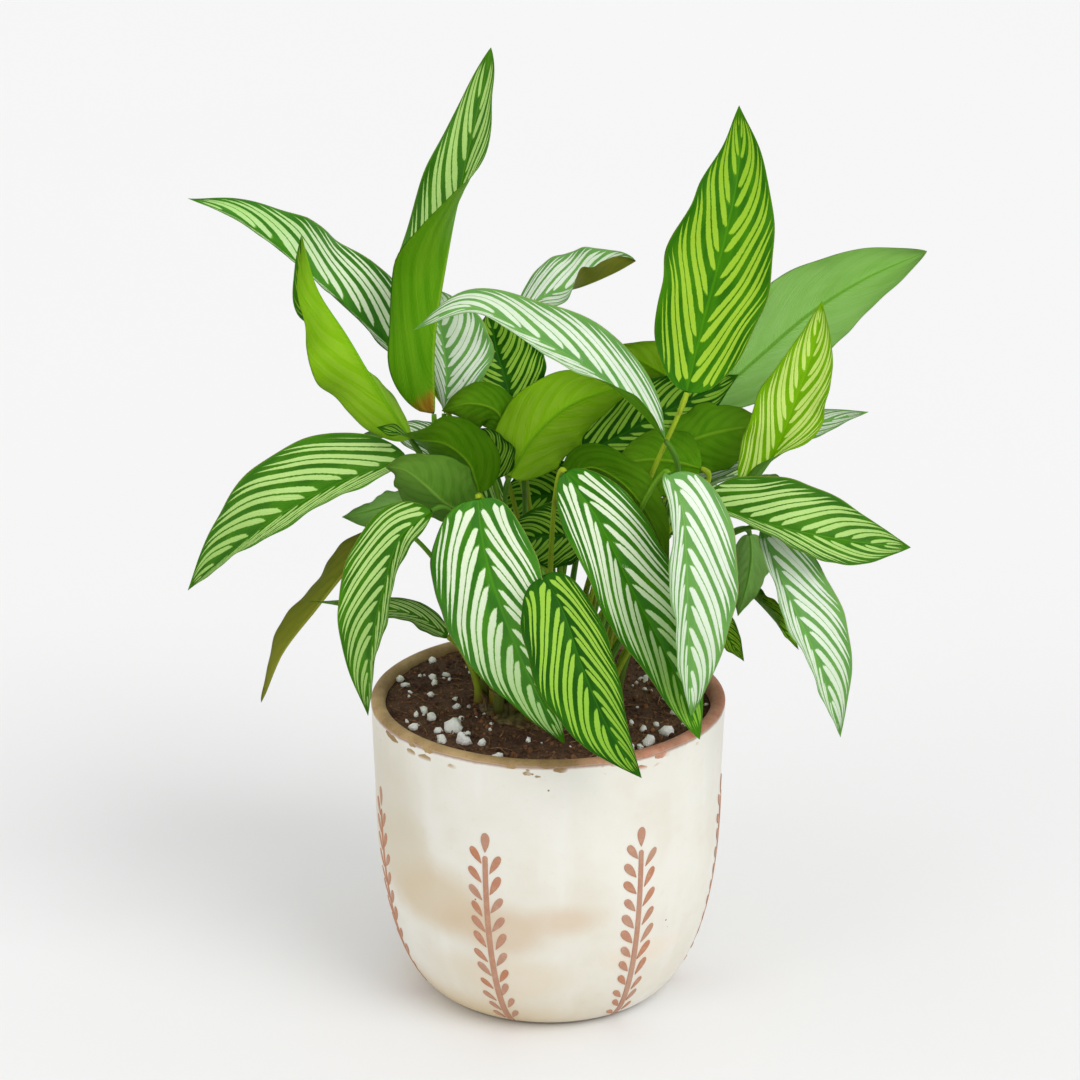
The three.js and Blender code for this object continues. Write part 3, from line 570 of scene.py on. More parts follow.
def blade_surfaces(leaf, t, across, seed):
    """The blade's upper and lower surface: thinner at the margin, with a groove above and a keel below."""
    middle = blade_middle(leaf, t, across, seed)

    # the base and the tip are single points, so the surface's direction is taken just inside them
    inner = np.clip(t, *PROBE.inside)
    steps = (-PROBE.along, PROBE.along)
    before, after = (blade_middle(leaf, inner + step, across, seed) for step in steps)
    inset = across * PROBE.inset
    right, left = (blade_middle(leaf, inner, np.clip(inset + step, -1, 1), seed)
                   for step in (PROBE.across, -PROBE.across))
    normal = unit(np.cross(right - left, after - before))

    out = np.abs(across)[None, :]
    taper = np.sqrt(outline_share(leaf["outline"], t))[:, None]
    rounded = np.sqrt(1 - out ** 6)
    thickness = (BLADE.middle + (BLADE.margin - BLADE.middle) * out) * rounded * taper
    veins = np.sin(2 * np.pi * (vein_run(t[:, None], out) - 0.2)) * ramp(out, 0.05, 0.3) * (1 - out ** 3)
    swell = BLADE.swell * veins * taper
    to_tip = 1 - t[:, None]
    groove = BLADE.groove * np.exp(-(out / BLADE.groove_width) ** 2) * taper * to_tip
    keel = BLADE.keel * np.exp(-(out / BLADE.keel_width) ** 2) * np.minimum(1, to_tip * 1.4) * taper
    upper = middle + normal * (thickness + swell - groove)[..., None]
    lower = middle + normal * (swell - thickness - keel)[..., None]
    return upper, lower


def blade_faces(t, across):
    """Faces of the two surfaces, which of the two each is on, and where its corners lie on the picture."""
    rows, width = len(t), len(across)
    upper = np.arange(rows * width).reshape(rows, width)
    lower = upper + rows * width

    # one shared point at the base, one at the tip, and shared points along both margins
    lower[:, [0, -1]] = upper[:, [0, -1]]
    for index in (upper, lower):
        index[0] = upper[0, 0]
        index[-1] = upper[-1, 0]

    faces, kinds, maps = [], [], []
    for kind, index, left in ((0, upper, BAKE.upper), (1, lower, BAKE.lower)):
        for row in range(rows - 1):
            for column in range(width - 1):
                cell = [(row, column), (row, column + 1), (row + 1, column + 1), (row + 1, column)]
                if kind == 1:
                    cell.reverse()
                corners = [int(index[at]) for at in cell]
                kept = [k for k in range(4) if corners[k] != corners[k - 1]]
                if len(kept) > 2:
                    faces.append(tuple(corners[k] for k in kept))
                    kinds.append(kind)
                    maps += [(left + BAKE.breadth * ((across[cell[k][1]] + 1) / 2),
                              BAKE.foot + BAKE.height * t[cell[k][0]]) for k in kept]
    return faces, kinds, maps


def stem_map(face, places):
    """Where the corners of one of the stem's faces lie on the picture, whole also where the round ends."""
    shares = np.array([places[corner] for corner in face])
    wrap = shares[:, 1] + (shares[:, 1] < 0.2) * (shares[:, 1].max() > 0.8) * (len(face) == 4)
    return [(BAKE_STEM.left + BAKE_STEM.breadth * turn, BAKE_STEM.foot + BAKE_STEM.height * share)
            for share, turn in zip(shares[:, 0], wrap)]


def leaf_piece(number, name, leaf):
    """Blade and stem, which grew as one: two faces joined at the margin, over a stem and its keel."""
    seed = (number * 0.618) % 1
    v = np.linspace(0, 1, BLADE.stations)
    t = v + (0.5 - 0.5 * np.cos(np.pi * v) - v) * BLADE.crowding
    columns = np.array(BLADE.columns)
    across = np.concatenate([-columns[:0:-1], columns])
    upper, lower = (surface.reshape(-1, 3) for surface in blade_surfaces(leaf, t, across, seed))
    stem_points, stem_faces, stem_places = stem_tube(leaf)
    points = np.vstack([upper, lower, stem_points])
    places = np.stack(np.broadcast_arrays(t[:, None], across[None], seed), axis=-1).reshape(-1, 3)
    values = np.vstack([places, places, np.column_stack([stem_places, np.full(len(stem_places), seed)])])

    faces, kinds, maps = blade_faces(t, across)
    for face in stem_faces:
        faces.append(tuple(2 * len(upper) + corner for corner in face))
        kinds.append(2)
        maps += stem_map(face, stem_places)
    used = sorted({corner for face in faces for corner in face})
    renumber = {old: new for new, old in enumerate(used)}
    faces = [tuple(renumber[corner] for corner in face) for face in faces]

    materials = [BLADES[leaf["upper"]], UNDERSIDES[leaf["under"]], STEMS[number % len(STEMS)]]
    piece = add_mesh(name + "_grown", points[used], faces, materials, kinds)
    store(piece, "leaf_place", values[used])
    layer = piece.data.uv_layers.new(name="OFBake")
    layer.data.foreach_set("uv", np.array(maps).ravel())
    place(piece, "leaf", name)


# ---- surfaces as fields ----

class Field:
    """A number that varies over a surface. Arithmetic on it adds Math nodes to its tree, id_data."""

    def __init__(self, socket):
        self.socket = socket
        self.id_data = socket.id_data

    def math(self, operation, *others, clamp=False):
        values = dict(enumerate((self, *others)))
        return Field(add_node(self, "Math", values, operation=operation, use_clamp=clamp)[0])

    def rise(self, low, high):
        """0 below low, 1 above high, and smooth between them (or falling, where low is the greater)."""
        values = {"Value": self, "From Min": low, "From Max": high}
        return Field(add_node(self, "MapRange", values, interpolation_type="SMOOTHSTEP")["Result"])

    def __rsub__(self, other):
        return self.math("MULTIPLY", -1) + other


OPERATORS = dict(add="ADD", radd="ADD", sub="SUBTRACT", mul="MULTIPLY", rmul="MULTIPLY", truediv="DIVIDE",
                 pow="POWER")
for operator, operation in OPERATORS.items():
    setattr(Field, f"__{operator}__", lambda self, other, does=operation: self.math(does, other))


def colour(red, green, blue):
    """A screen colour, 0 ... 255 each, as the shader's linear one."""
    channels = [value / 255 for value in (red, green, blue)]
    return (*[c / 12.92 if c < 0.04045 else ((c + 0.055) / 1.055) ** 2.4 for c in channels], 1)


def connect(socket, value):
    """Links a varying value to a socket, or sets an even one on it. A tuple is a screen colour."""
    if isinstance(value, Field):
        value = value.socket
    if isinstance(value, bpy.types.NodeSocket):
        socket.id_data.links.new(value, socket)
    else:
        socket.default_value = colour(*value) if isinstance(value, tuple) else value


def add_node(near, kind, values, **settings):
    """Adds a shader node to the tree that near (a field, a socket or the tree) is in; gives its outputs."""
    made = near.id_data.nodes.new("ShaderNode" + kind)
    for name, value in settings.items():
        setattr(made, name, value)
    for name, value in values.items():
        connect(made.inputs[name], value)
    return made.outputs


def tinted(share, start, end):
    """Goes from one colour to the other with share."""
    return add_node(share, "Mix", {"Factor": share, 6: start, 7: end}, data_type="RGBA")[2]


def layered(face, *layers):
    """Lays one colour after another over a face; each layer is its share and its colour."""
    for share, tone in layers:
        face = tinted(share, face, tone)
    return face


def vector_of(x, y, z):
    return add_node(x, "CombineXYZ", {0: x, 1: y, 2: z})[0]


def parts_of(vector):
    return [Field(output) for output in add_node(vector, "SeparateXYZ", {0: vector})]


def mottle(vector, scale, detail=2, roughness=0.5):
    """Cloudy noise, 0 ... 1 around a half."""
    values = {"Vector": vector, "Scale": scale, "Detail": detail, "Roughness": roughness}
    return Field(add_node(vector, "TexNoise", values)["Fac"])


def cells(vector, scale):
    """Distance from the middle of scattered cells, and a random number for each cell."""
    found = add_node(vector, "TexVoronoi", {"Vector": vector, "Scale": scale})
    return Field(found["Distance"]), parts_of(found["Color"])[0]


def random_three(vector):
    return parts_of(add_node(vector, "TexWhiteNoise", {"Vector": vector})["Color"])


def object_place(tree):
    return add_node(tree, "TexCoord", {})["Object"]


def stored(tree, name):
    return add_node(tree, "Attribute", {}, attribute_name=name)["Vector"]


def new_group(name, inputs, outputs):
    """A shader node group, its sockets listed by kind; gives its tree and the inputs' sockets by name."""
    tree = bpy.data.node_groups.new(name, "ShaderNodeTree")
    for direction, sockets in (("INPUT", inputs), ("OUTPUT", outputs)):
        for kind, names in sockets.items():
            for socket in names.split():
                tree.interface.new_socket(socket, in_out=direction, socket_type="NodeSocket" + kind)
    return tree, tree.nodes.new("NodeGroupInput").outputs


def close_group(tree, **values):
    end = tree.nodes.new("NodeGroupOutput")
    for name, value in values.items():
        connect(end.inputs[name], value)
    return tree


def use(tree, group, **values):
    return add_node(tree, "Group", values, node_tree=group)


def new_material(name, roughness, specular):
    """A material with its Principled shader's even values set; gives the material and its node tree."""
    material = bpy.data.materials.new(name)
    material.use_nodes = True
    inputs = material.node_tree.nodes["Principled BSDF"].inputs
    inputs["Roughness"].default_value = roughness
    inputs["Specular IOR Level"].default_value = specular
    return material, material.node_tree


def finished(material, face, height=None, distance=None, roughness=None):
    """Gives the shader its colour, its bumps (heights in units of distance, in metres) and its roughness."""
    inputs = material.node_tree.nodes["Principled BSDF"].inputs
    connect(inputs["Base Color"], face)
    if roughness is not None:
        connect(inputs["Roughness"], roughness)
    if height is not None:
        bumped = add_node(material.node_tree, "Bump", {"Distance": distance, "Height": height})
        connect(inputs["Normal"], bumped[0])
    return material


# ---- leaf finishes ----

def vein_places_group():
    """Where a point lies among a leaf's veins. Run counts the pairs of bars from the leaf's base."""
    tree, _ = new_group("vein_places", {}, dict(Float="Along Across Run Seed"))
    along, across, seed = parts_of(stored(tree, "leaf_place"))
    out = across.math("ABSOLUTE")
    half_seed = seed * 9.7 + across.math("SIGN") * 2.3
    swept = out * VEINS.lean + out ** VEINS.curve * VEINS.sweep
    gathered = 1 - (along / -VEINS.gather).math("EXPONENT")
    drift = mottle(vector_of(along * 3, out * 1.5, half_seed), 1.0, 1) - 0.5
    start = along - swept * gathered * (1 - along * VEINS.steeper)
    spread = start * (1 + VEINS.wider) - start * start * VEINS.wider
    run = spread * VEINS.pairs + half_seed + drift * VEINS.drift
    return close_group(tree, Along=along, Across=out, Run=run, Seed=half_seed)


def fine_ribs(run, streaks):
    """Twelve fine ridges between neighbouring veins, a little uneven."""
    return ((run * 12 + streaks) * (2 * math.pi)).math("SINE")


def barred_blade_group(places):
    """The pairs of pale bars between the veins, each pair a broad bar and a slightly narrower twin."""
    inputs = dict(Color="Dark Bar Fringe Margin Rim", Float="Breadth Turning")
    tree, given = new_group("barred_blade", inputs, dict(Color="Color", Float="Bars Height"))
    along, out, run, seed = (Field(output) for output in use(tree, places))
    pair = run.math("FLOOR")
    chances = random_three(vector_of(pair, seed, 0.37))
    more = random_three(vector_of(pair, seed, 5.91))

    # jagged edges: short steps along the bar's length
    jag = mottle(vector_of(along * 64, out * 30, seed), 1.0, 2, 0.6) - 0.5
    ragged = run - pair + jag * BAR.jag
    bars = None
    for (centre, half, starts, ends), step in zip(BARS, (1, -1)):
        chance, other = chances[::step], more[::step]
        begins = starts + (chance[0] - 0.5) * BAR.begins
        finishes = ends + (chance[1] - 0.5) * BAR.ends
        rounded = ((out - begins) / BAR.root).math("ADD", 0, clamp=True) ** BAR.root_power
        tapered = ((finishes - out) / BAR.tip).math("ADD", 0, clamp=True) ** BAR.tip_power
        breadth = BAR.slimmest + BAR.broader * other[0]
        shape = rounded * tapered * breadth * Field(given["Breadth"])
        aside = (ragged - (centre + (other[1] - 0.5) * BAR.centre)).math("ABSOLUTE")
        depth = shape * (half + BAR.trim) - BAR.trim - aside
        bars = depth if bars is None else bars.math("MAXIMUM", depth)
    ends_fade = along.rise(0.02, 0.05) * along.rise(0.98, 0.93)
    depth = bars - (1 - ends_fade) * 0.2
    mask = depth.rise(-0.010, 0.018)
    fringe = depth.rise(-0.035, 0.010)

    streaks = mottle(vector_of(run * 16, out * 3.2, seed), 1.0, 2, 0.6)
    broad = mottle(vector_of(along * 5, out * 3, seed + 4.2), 1.0, 2)
    tone = broad.rise(0.35, 0.7) * 0.5 + streaks.rise(0.5, 0.8) * 0.22
    dark = tinted(tone, given["Dark"], given["Margin"])
    dark = tinted(fringe * 0.7, dark, given["Fringe"])
    veined = streaks.rise(0.58, 0.76) * 0.2 + broad.rise(0.6, 0.25) * 0.1
    veined = veined + along.rise(0.25, 0.95) * Field(given["Turning"])
    pale = tinted(veined, given["Bar"], given["Fringe"])
    face = tinted(mask, dark, pale)
    edge = out.rise(0.95, 0.985)
    face = layered(
        face,
        ((edge * 0.5).math("MAXIMUM", along.rise(0.93, 1.0) * 0.7), given["Margin"]),
        (out.rise(0.982, 0.996), given["Rim"]),
    )
    rib = out.rise(0.035, 0.01) * along.rise(1.0, 0.8) * 0.5
    face = tinted(rib, face, given["Margin"])
    height = fine_ribs(run, streaks) * 0.16 * out.rise(0.02, 0.12) + mask * 0.5 + streaks * 0.4 + broad * 0.5
    return close_group(tree, Color=face, Bars=mask, Height=height)


def leaf_underside_group(places):
    """The plain underside: fine raised veins, a paler midrib and the bars showing faintly through."""
    inputs = dict(Color="Tissue Through Midrib", Float="Show Scar")
    tree, given = new_group("leaf_underside", inputs, dict(Color="Color", Float="Height"))
    along, out, run, seed = (Field(output) for output in use(tree, places))
    streaks = mottle(vector_of(run * 16, out * 2.6, seed), 1.0, 2, 0.6)
    broad = mottle(vector_of(along * 4, out * 2.5, seed + 1.7), 1.0, 2)
    within = run - run.math("FLOOR")
    band = (within - 0.39).math("ABSOLUTE").rise(0.36, 0.24) * out.rise(0.05, 0.2) * out.rise(1.0, 0.7)
    face = layered(
        tinted(band * Field(given["Show"]), given["Tissue"], given["Through"]),
        (streaks.rise(0.45, 0.75) * 0.4, given["Through"]),
        (broad.rise(0.4, 0.75) * 0.25, given["Midrib"]),
        (along.rise(0.3, 0.9) * 0.4, given["Midrib"]),
    )

    # a dried brown patch where a blade was once bruised at its base
    dried = (along + (streaks - 0.5) * 0.05 + out * 0.05).rise(0.085, 0.04) * Field(given["Scar"])
    brown = tinted(broad.rise(0.4, 0.6), (150, 92, 22), (184, 128, 44))
    face = layered(
        face,
        (dried * 0.85, brown),
        (out.rise(0.055, 0.015) * 0.85, given["Midrib"]),
    )
    height = fine_ribs(run, streaks) * 0.35 + streaks * 0.5 + band * 0.2
    return close_group(tree, Color=face, Height=height)


def barred_finish(group, name, dark, bar, fringe, margin, rim, breadth, turning, roughness, specular):
    material, tree = new_material(f"barred_{name}", roughness, specular)
    face = use(tree, group, Dark=dark, Bar=bar, Fringe=fringe,
               Margin=margin, Rim=rim, Breadth=breadth, Turning=turning)
    varying = Field(face["Bars"]) * BAR.rougher + roughness
    return finished(material, face["Color"], face["Height"], 0.00022, varying)


def underside_finish(group, name, tissue, through, midrib, show, scar):
    material, tree = new_material(f"underside_{name}", 0.55, 0.08)
    face = use(tree, group, Tissue=tissue, Through=through, Midrib=midrib, Show=show, Scar=scar)
    return finished(material, face["Color"], face["Height"], 0.00025)


def stem_finish(name, fresh, streak, foot):
    """Smooth green stalk with fine lengthwise streaks, browner and duller where it leaves the soil."""
    material, tree = new_material(f"stem_{name}", 0.45, 0.15)
    up, around, seed = parts_of(stored(tree, "leaf_place"))
    place_on_stem = vector_of(up * 5, around * 14, seed * 9)
    lines = mottle(place_on_stem, 1.0, 3, 0.6)
    blotch = mottle(vector_of(up * 16, around * 2, seed * 31), 1.0, 2)
    face = layered(
        tinted(lines.rise(0.42, 0.68) * 0.7, fresh, streak),
        (blotch.rise(0.58, 0.75) * 0.45, foot),
        ((up + lines * 0.1).rise(0.24, 0.05) * 0.8, foot),
    )
    return finished(material, face, lines, 0.0004)


# ---- pot, soil and grain finishes ----

def fired_clay_group():
    """Unglazed terracotta: tan on one side and pinker on the other, with sandy grain."""
    tree, given = new_group("fired_clay", dict(Vector="Place"), dict(Color="Color", Float="Height"))
    place_in_clay = given["Place"]
    cloud = mottle(place_in_clay, 55, 4, 0.6)
    sand = mottle(place_in_clay, 900, 3, 0.7)
    across = parts_of(place_in_clay)[0]
    tan = tinted(cloud.rise(0.3, 0.72), (146, 118, 74), (188, 158, 110))
    pink = tinted(cloud.rise(0.3, 0.72), (168, 108, 80), (204, 150, 124))
    face = layered(
        tinted((across + (cloud - 0.5) * 0.06).rise(-0.01, 0.05), tan, pink),
        (sand.rise(0.5, 0.8) * 0.4, (208, 170, 138)),
        (sand.rise(0.42, 0.25) * 0.5, (98, 66, 44)),
    )
    return close_group(tree, Color=face, Height=sand + cloud * 0.5)


def stain(place_on_pot, centre, reach, edge):
    """How much a soft round stain covers a place; its centre and its reach along x and z are millimetres."""
    x, y, z = parts_of(place_on_pot)
    gone = ((x - centre[0] * MM) / (reach[0] * MM)) ** 2 + ((z - centre[2] * MM) / (reach[1] * MM)) ** 2
    side = (y * (1 if centre[1] > 0 else -1)).rise(-0.004, 0.012)
    return (gone.math("SQRT") + edge).rise(1.0, 0.35) * side


def glazed_pot_finish(clay):
    """Matte cream glaze with warm washes, over clay that shows at the lip and in chips under it."""
    material, tree = new_material("cream_glaze", 0.42, 0.4)
    at = object_place(tree)
    x, y, z = parts_of(at)
    radius = (x * x + y * y).math("SQRT")
    cloud = mottle(at, 22, 4, 0.55)
    fine = mottle(at, 240, 3, 0.6)
    paler_mottle = mottle(vector_of(x, y, z * 0.16), 60, 2)

    glaze = tinted(cloud.rise(0.35, 0.7), (234, 232, 222), (226, 221, 206))
    # paler upright streaks over the glaze: painted soft highlights
    glaze = tinted(paler_mottle.rise(0.5, 0.72) * 0.4, glaze, (240, 239, 233))
    edge = (cloud - 0.5) * 1.1
    for centre, reach, strength, tone in STAINS:
        glaze = tinted(stain(at, centre, reach, edge) * strength, glaze, tone)
    glaze = tinted(fine.rise(0.55, 0.8) * 0.18, glaze, (214, 200, 172))
    distance, chance = cells(at, 95)
    speck = distance.rise(0.055, 0.03) * chance.rise(0.86, 0.88)
    glaze = tinted(speck * 0.85, glaze, (92, 66, 48))
    golden = z.rise(0.03, 0.002) * (x + edge * 0.02).rise(0.05, -0.03)
    glaze = tinted(golden * 0.7, glaze, (206, 176, 116))

    # clay: the lip and everything inside it, a ragged line below the lip, and a few chips
    ragged = (cloud - 0.5) * 0.0022 + (fine - 0.5) * 0.0009
    inside = radius.rise(*BARE.radius) * z.rise(*BARE.above)
    lip = (z + ragged).rise(*BARE.lip).math("MAXIMUM", inside)
    flake, luck = cells(vector_of(x, y, z * 2.4), 120)
    chips = (flake + (fine - 0.5) * 0.5).rise(0.46, 0.40) * luck.rise(0.45, 0.47) * z.rise(*BARE.chips)
    bare = lip.math("MAXIMUM", chips * cloud.rise(0.42, 0.48))
    line = (z + ragged).rise(*BARE.line) * (1 - lip)
    glaze = tinted(line * 0.8, glaze, (146, 98, 70))
    bare = bare.math("MAXIMUM", z.rise(*BARE.foot))

    earth = use(tree, clay, Place=at)
    roughness = bare * 0.38 + 0.40 + (fine - 0.5) * 0.12
    height = (1 - bare) * (0.5 + cloud * 0.6 + fine * 0.12) + bare * Field(earth["Height"]) * 0.25
    return finished(material, tinted(bare, glaze, earth["Color"]), height, 0.00035, roughness)


def painted_sprig_finish():
    """Thin brown slip, uneven from stroke to stroke and within each stroke."""
    material, tree = new_material("painted_slip", 0.6, 0.3)
    share, stroke, _ = parts_of(stored(tree, "stroke"))
    at = object_place(tree)
    paler_mottle = mottle(at, 420, 3, 0.65)
    wide = mottle(at, 90, 2)
    face = layered(
        tinted(stroke, (188, 128, 96), (186, 146, 124)),
        (wide.rise(0.4, 0.7) * 0.4, (176, 116, 86)),
        (paler_mottle.rise(0.45, 0.75) * 0.45, (206, 166, 138)),
        (share.rise(0.25, 0.0) * 0.25, (156, 112, 88)),
    )
    return finished(material, face, paler_mottle, 0.0001)


def soil_finish(name, damp, dry, crumb):
    """Dark, fibrous potting mix: damp and dry patches, crumbs and dust."""
    material, tree = new_material(f"potting_mix_{name}", 0.92, 0.2)
    at = object_place(tree)
    patches = mottle(at, 60, 4, 0.6)
    crumbs = mottle(at, 700, 4, 0.7)
    face = layered(
        tinted(patches.rise(0.35, 0.7), damp, dry),
        (crumbs.rise(0.5, 0.75) * 0.6, crumb),
        (crumbs.rise(0.45, 0.28) * 0.7, (26, 18, 14)),
    )
    return finished(material, face, crumbs, 0.0012)


def fibre_finish():
    material, tree = new_material("root_fibres", 0.85, 0.2)
    at = object_place(tree)
    strands = mottle(at, 300, 2)
    face = tinted(strands.rise(0.35, 0.65), (92, 62, 40), (158, 120, 84))
    return finished(material, face, strands, 0.0002)


def sheath_finish():
    """Old leaf sheaths and rhizome at the foot of the stems: straw brown, ribbed, green near the stems."""
    material, tree = new_material("old_sheaths", 0.75, 0.25)
    at = object_place(tree)
    x, y, z = parts_of(at)
    ribs = mottle(vector_of(x, y, z * 0.2), 420, 3, 0.6)
    patches = mottle(at, 70, 3)
    face = tinted(ribs.rise(0.35, 0.7), (78, 58, 36), (140, 118, 74))
    face = tinted(patches.rise(0.5, 0.75) * 0.5, face, (96, 108, 52))
    return finished(material, face, ribs, 0.0006)


def perlite_finish():
    """Puffed white mineral: chalky, pitted, a little soil dust in the pits."""
    material, tree = new_material("puffed_perlite", 0.85, 0.3)
    at = object_place(tree)
    pits, _ = cells(at, 1100)
    cloud = mottle(at, 180, 3)
    face = tinted(cloud.rise(0.35, 0.7), (255, 255, 252), (246, 246, 238))
    face = tinted(pits.rise(0.6, 0.9) * 0.15, face, (206, 196, 172))
    return finished(material, face, 1 - pits, 0.0003)


def floor_finish():
    material, tree = new_material("pale_floor", 0.9, 0.1)
    return finished(material, tinted(mottle(object_place(tree), 0.6), (236, 236, 236), (240, 240, 240)))

# ---- pot ----

def pot_radius(z):
    """Outer radius at a height: a rounded lower wall, then nearly straight to the rim."""
    z = np.asarray(z, float)
    share = (z - POT.belly_height) / (POT.height - POT.belly_height)
    upper = POT.belly + (POT.rim - POT.belly) * share
    down = np.clip(1 - z / POT.belly_height, 0, 1)
    fullness = (1 - down ** POT.lower_power) ** (1 / POT.upper_power)
    return np.where(z > POT.belly_height, upper, POT.foot + (POT.belly - POT.foot) * fullness)


def outer_wall():
    """Radius and height up the outside, from the edge of the foot to where the lip starts to round."""
    theta = np.linspace(0, np.pi / 2, POT.rows)
    z = POT.belly_height * (1 - np.cos(theta) ** (2 / POT.lower_power))
    radius = POT.foot + (POT.belly - POT.foot) * np.sin(theta) ** (2 / POT.upper_power)
    above = np.linspace(POT.belly_height, POT.height - POT.lip_round, POT.rows // 4)[1:]
    return np.vstack([np.column_stack([radius, z]), np.column_stack([pot_radius(above), above])])


def turned(outline, segments):
    """Rings of points, and their faces, for an outline of (radius, height) from axis to axis."""
    turn = full_turn(segments)
    rings = np.array([[r * np.cos(turn), r * np.sin(turn), np.full(segments, z)] for r, z in outline[1:-1]])
    points = rings.transpose(0, 2, 1).reshape(-1, 3)
    faces = grid_faces(len(outline) - 2, segments, closed=True)
    low, high = len(points), len(points) + 1
    last = len(points) - segments
    for corner in range(segments):
        after = (corner + 1) % segments
        faces.append((low, after, corner))
        faces.append((high, last + corner, last + after))
    ends = [(0, 0, outline[0][1]), (0, 0, outline[-1][1])]
    return np.vstack([points, ends]), faces


def pot_piece():
    wall = outer_wall()
    lip_middle = POT.rim - POT.wall / 2
    angles = np.linspace(0, np.pi, POT.lip_rows + 2)[1:-1]
    lip = np.column_stack([
        lip_middle + np.cos(angles) * POT.wall / 2,
        POT.height - POT.lip_round * (1 - np.sin(angles)),
    ])
    inside = np.linspace(POT.height - POT.lip_round, POT.floor, POT.inner_rows)
    inner = np.column_stack([pot_radius(inside) - POT.wall, inside])
    floor = [[POT.flat_floor, POT.floor], [0, POT.floor]]
    outline = np.vstack([[0, 0], [POT.foot * POT.flat_foot, 0], wall, lip, inner, floor])
    points, faces = turned(outline, POT.segments)

    # thrown by hand: the wall is never quite round
    radius = np.hypot(points[:, 0], points[:, 1])
    wander = roughened(points, POT.wander) - POT.wander_middle
    scale = 1 + np.where(radius > 1, wander / np.maximum(radius, 1), 0) * (points[:, 2] > 1)
    points[:, :2] *= scale[:, None]
    pot = add_mesh("glazed_pot", points, faces, [glazed_pot_finish(CLAY)])
    place(pot, "glazed_pot", "pot")


def teardrop(length, width):
    """A leaflet's outline, narrow at its foot and round at its end, as (sideways, upward)."""
    count = SPRIG.leaflet_points
    turn = 2 * np.pi * (np.arange(count) + 0.5) / count
    swell = np.sin(turn) * np.sin(turn / 2)
    return np.column_stack([width / 2 * swell / np.abs(swell).max(), length * (1 - np.cos(turn)) / 2])


def strip(length, width):
    """A stem's outline with a rounded top, as (sideways, upward), narrowing a little upward."""
    turn = np.linspace(0, np.pi, 12)
    top = width * SPRIG.stem_top
    cap = np.column_stack([np.cos(turn) * top, length - top + np.sin(turn) * top])
    up = np.linspace(0, length - top, 40)[:-1]
    half = width * (0.5 - (0.5 - SPRIG.stem_top) * up / length)
    return np.vstack([np.column_stack([half, up]), cap, np.column_stack([-half, up])[::-1]])


def sprig_strokes(chance, low, high, bud_low, bud_high):
    """The strokes of a sprig: outline, how far up and aside it starts, and how it tilts, in degrees."""
    yield strip(high - low, SPRIG.stem_width), low, 0, 0
    yield teardrop(bud_high - bud_low, SPRIG.bud_width), bud_low, 0, chance.normal(0, 3)
    for hand, side in ((-1, SPRIG.left), (1, SPRIG.right)):
        up = high - side["first"]
        while up > low + 1:
            near_top = 1 - (high - up) / (high - low)
            size = SPRIG.foot_share + (1 - SPRIG.foot_share) * smooth(near_top * 1.8)
            outline = teardrop(side["length"], side["width"]) * size * chance.normal(1, 0.05)
            aside = hand * (SPRIG.stem_width / 2 + side["gap"] * chance.random())
            yield outline, up, aside, hand * chance.normal(side["tilt"], 4)
            up -= side["spacing"] * (0.8 + 0.2 * near_top) * chance.normal(1, 0.04)


def pad_rings(outline, up, sideways, tilt):
    """Rings of a low pad of slip, from inside the wall to its flat top: each in its own plane, then how
    far up and aside its points are, and how proud of the wall."""
    middle = outline.mean(axis=0)
    reach = np.abs(outline - middle).max(axis=0)
    lean = math.radians(tilt)
    for share, proud in SPRIG.pad:
        ring = middle + (outline - middle) * (1 - (1 - share) * reach[0] / reach)
        along = ring[:, 1] * math.cos(lean) - ring[:, 0] * math.sin(lean)
        aside = ring[:, 1] * math.sin(lean) + ring[:, 0] * math.cos(lean)
        yield ring, up + along, sideways + aside, proud * SPRIG.relief


def on_wall(wall, travelled, up, sideways, azimuth, proud):
    """Points so far up along the wall, to the side of an azimuth, and proud of the surface."""
    radius, z = (np.interp(up, travelled, wall[:, axis]) for axis in (0, 1))
    rise = np.gradient(wall[:, 1]) / np.hypot(*np.gradient(wall, axis=0).T)
    tilt = np.interp(up, travelled, rise)
    turn = np.radians(azimuth) + sideways / radius
    proud_radius = radius + proud * tilt
    z = z - proud * np.sqrt(1 - np.clip(tilt, 0, 1) ** 2)
    return np.column_stack([np.sin(turn) * proud_radius, -np.cos(turn) * proud_radius, z])


def sprigs_piece():
    """Thin strokes of slip on the wall: each stroke is a low pad that bends with the pot."""
    wall = outer_wall()
    travelled = np.concatenate([[0], np.cumsum(np.linalg.norm(np.diff(wall, axis=0), axis=1))])
    ends = [np.interp(z, wall[:, 1], travelled) for z in (*SPRIG.stem, *SPRIG.bud)]
    chance = np.random.default_rng(7)
    points, faces, values = [], [], []
    for sprig in range(SPRIG.count):
        azimuth = SPRIG.first_azimuth + sprig * 360 / SPRIG.count
        for stroke in sprig_strokes(chance, *ends):
            tone, length = chance.random(), stroke[0][:, 1].max()
            first, around = len(points), len(stroke[0])
            for ring, up, aside, proud in pad_rings(*stroke):
                aside = aside + SPRIG.lean[sprig] * (1 - np.clip(up / ends[1], 0, 1)) ** 2
                points.extend(on_wall(wall, travelled, up, aside, azimuth, proud))
                values.extend((at[1] / length, tone, 0) for at in ring)
            faces.extend(grid_faces(len(SPRIG.pad), around, first, closed=True))
            top, last = len(points) - around, around - 1
            rungs = range(around // 2 - 1)
            faces.extend((top + k, top + k + 1, top + last - k - 1, top + last - k) for k in rungs)
    sprigs = add_mesh("painted_sprigs", points, faces, [painted_sprig_finish()])
    store(sprigs, "stroke", values)
    place(sprigs, "glazed_pot")


# ---- soil, crumbs, fibres and grains ----

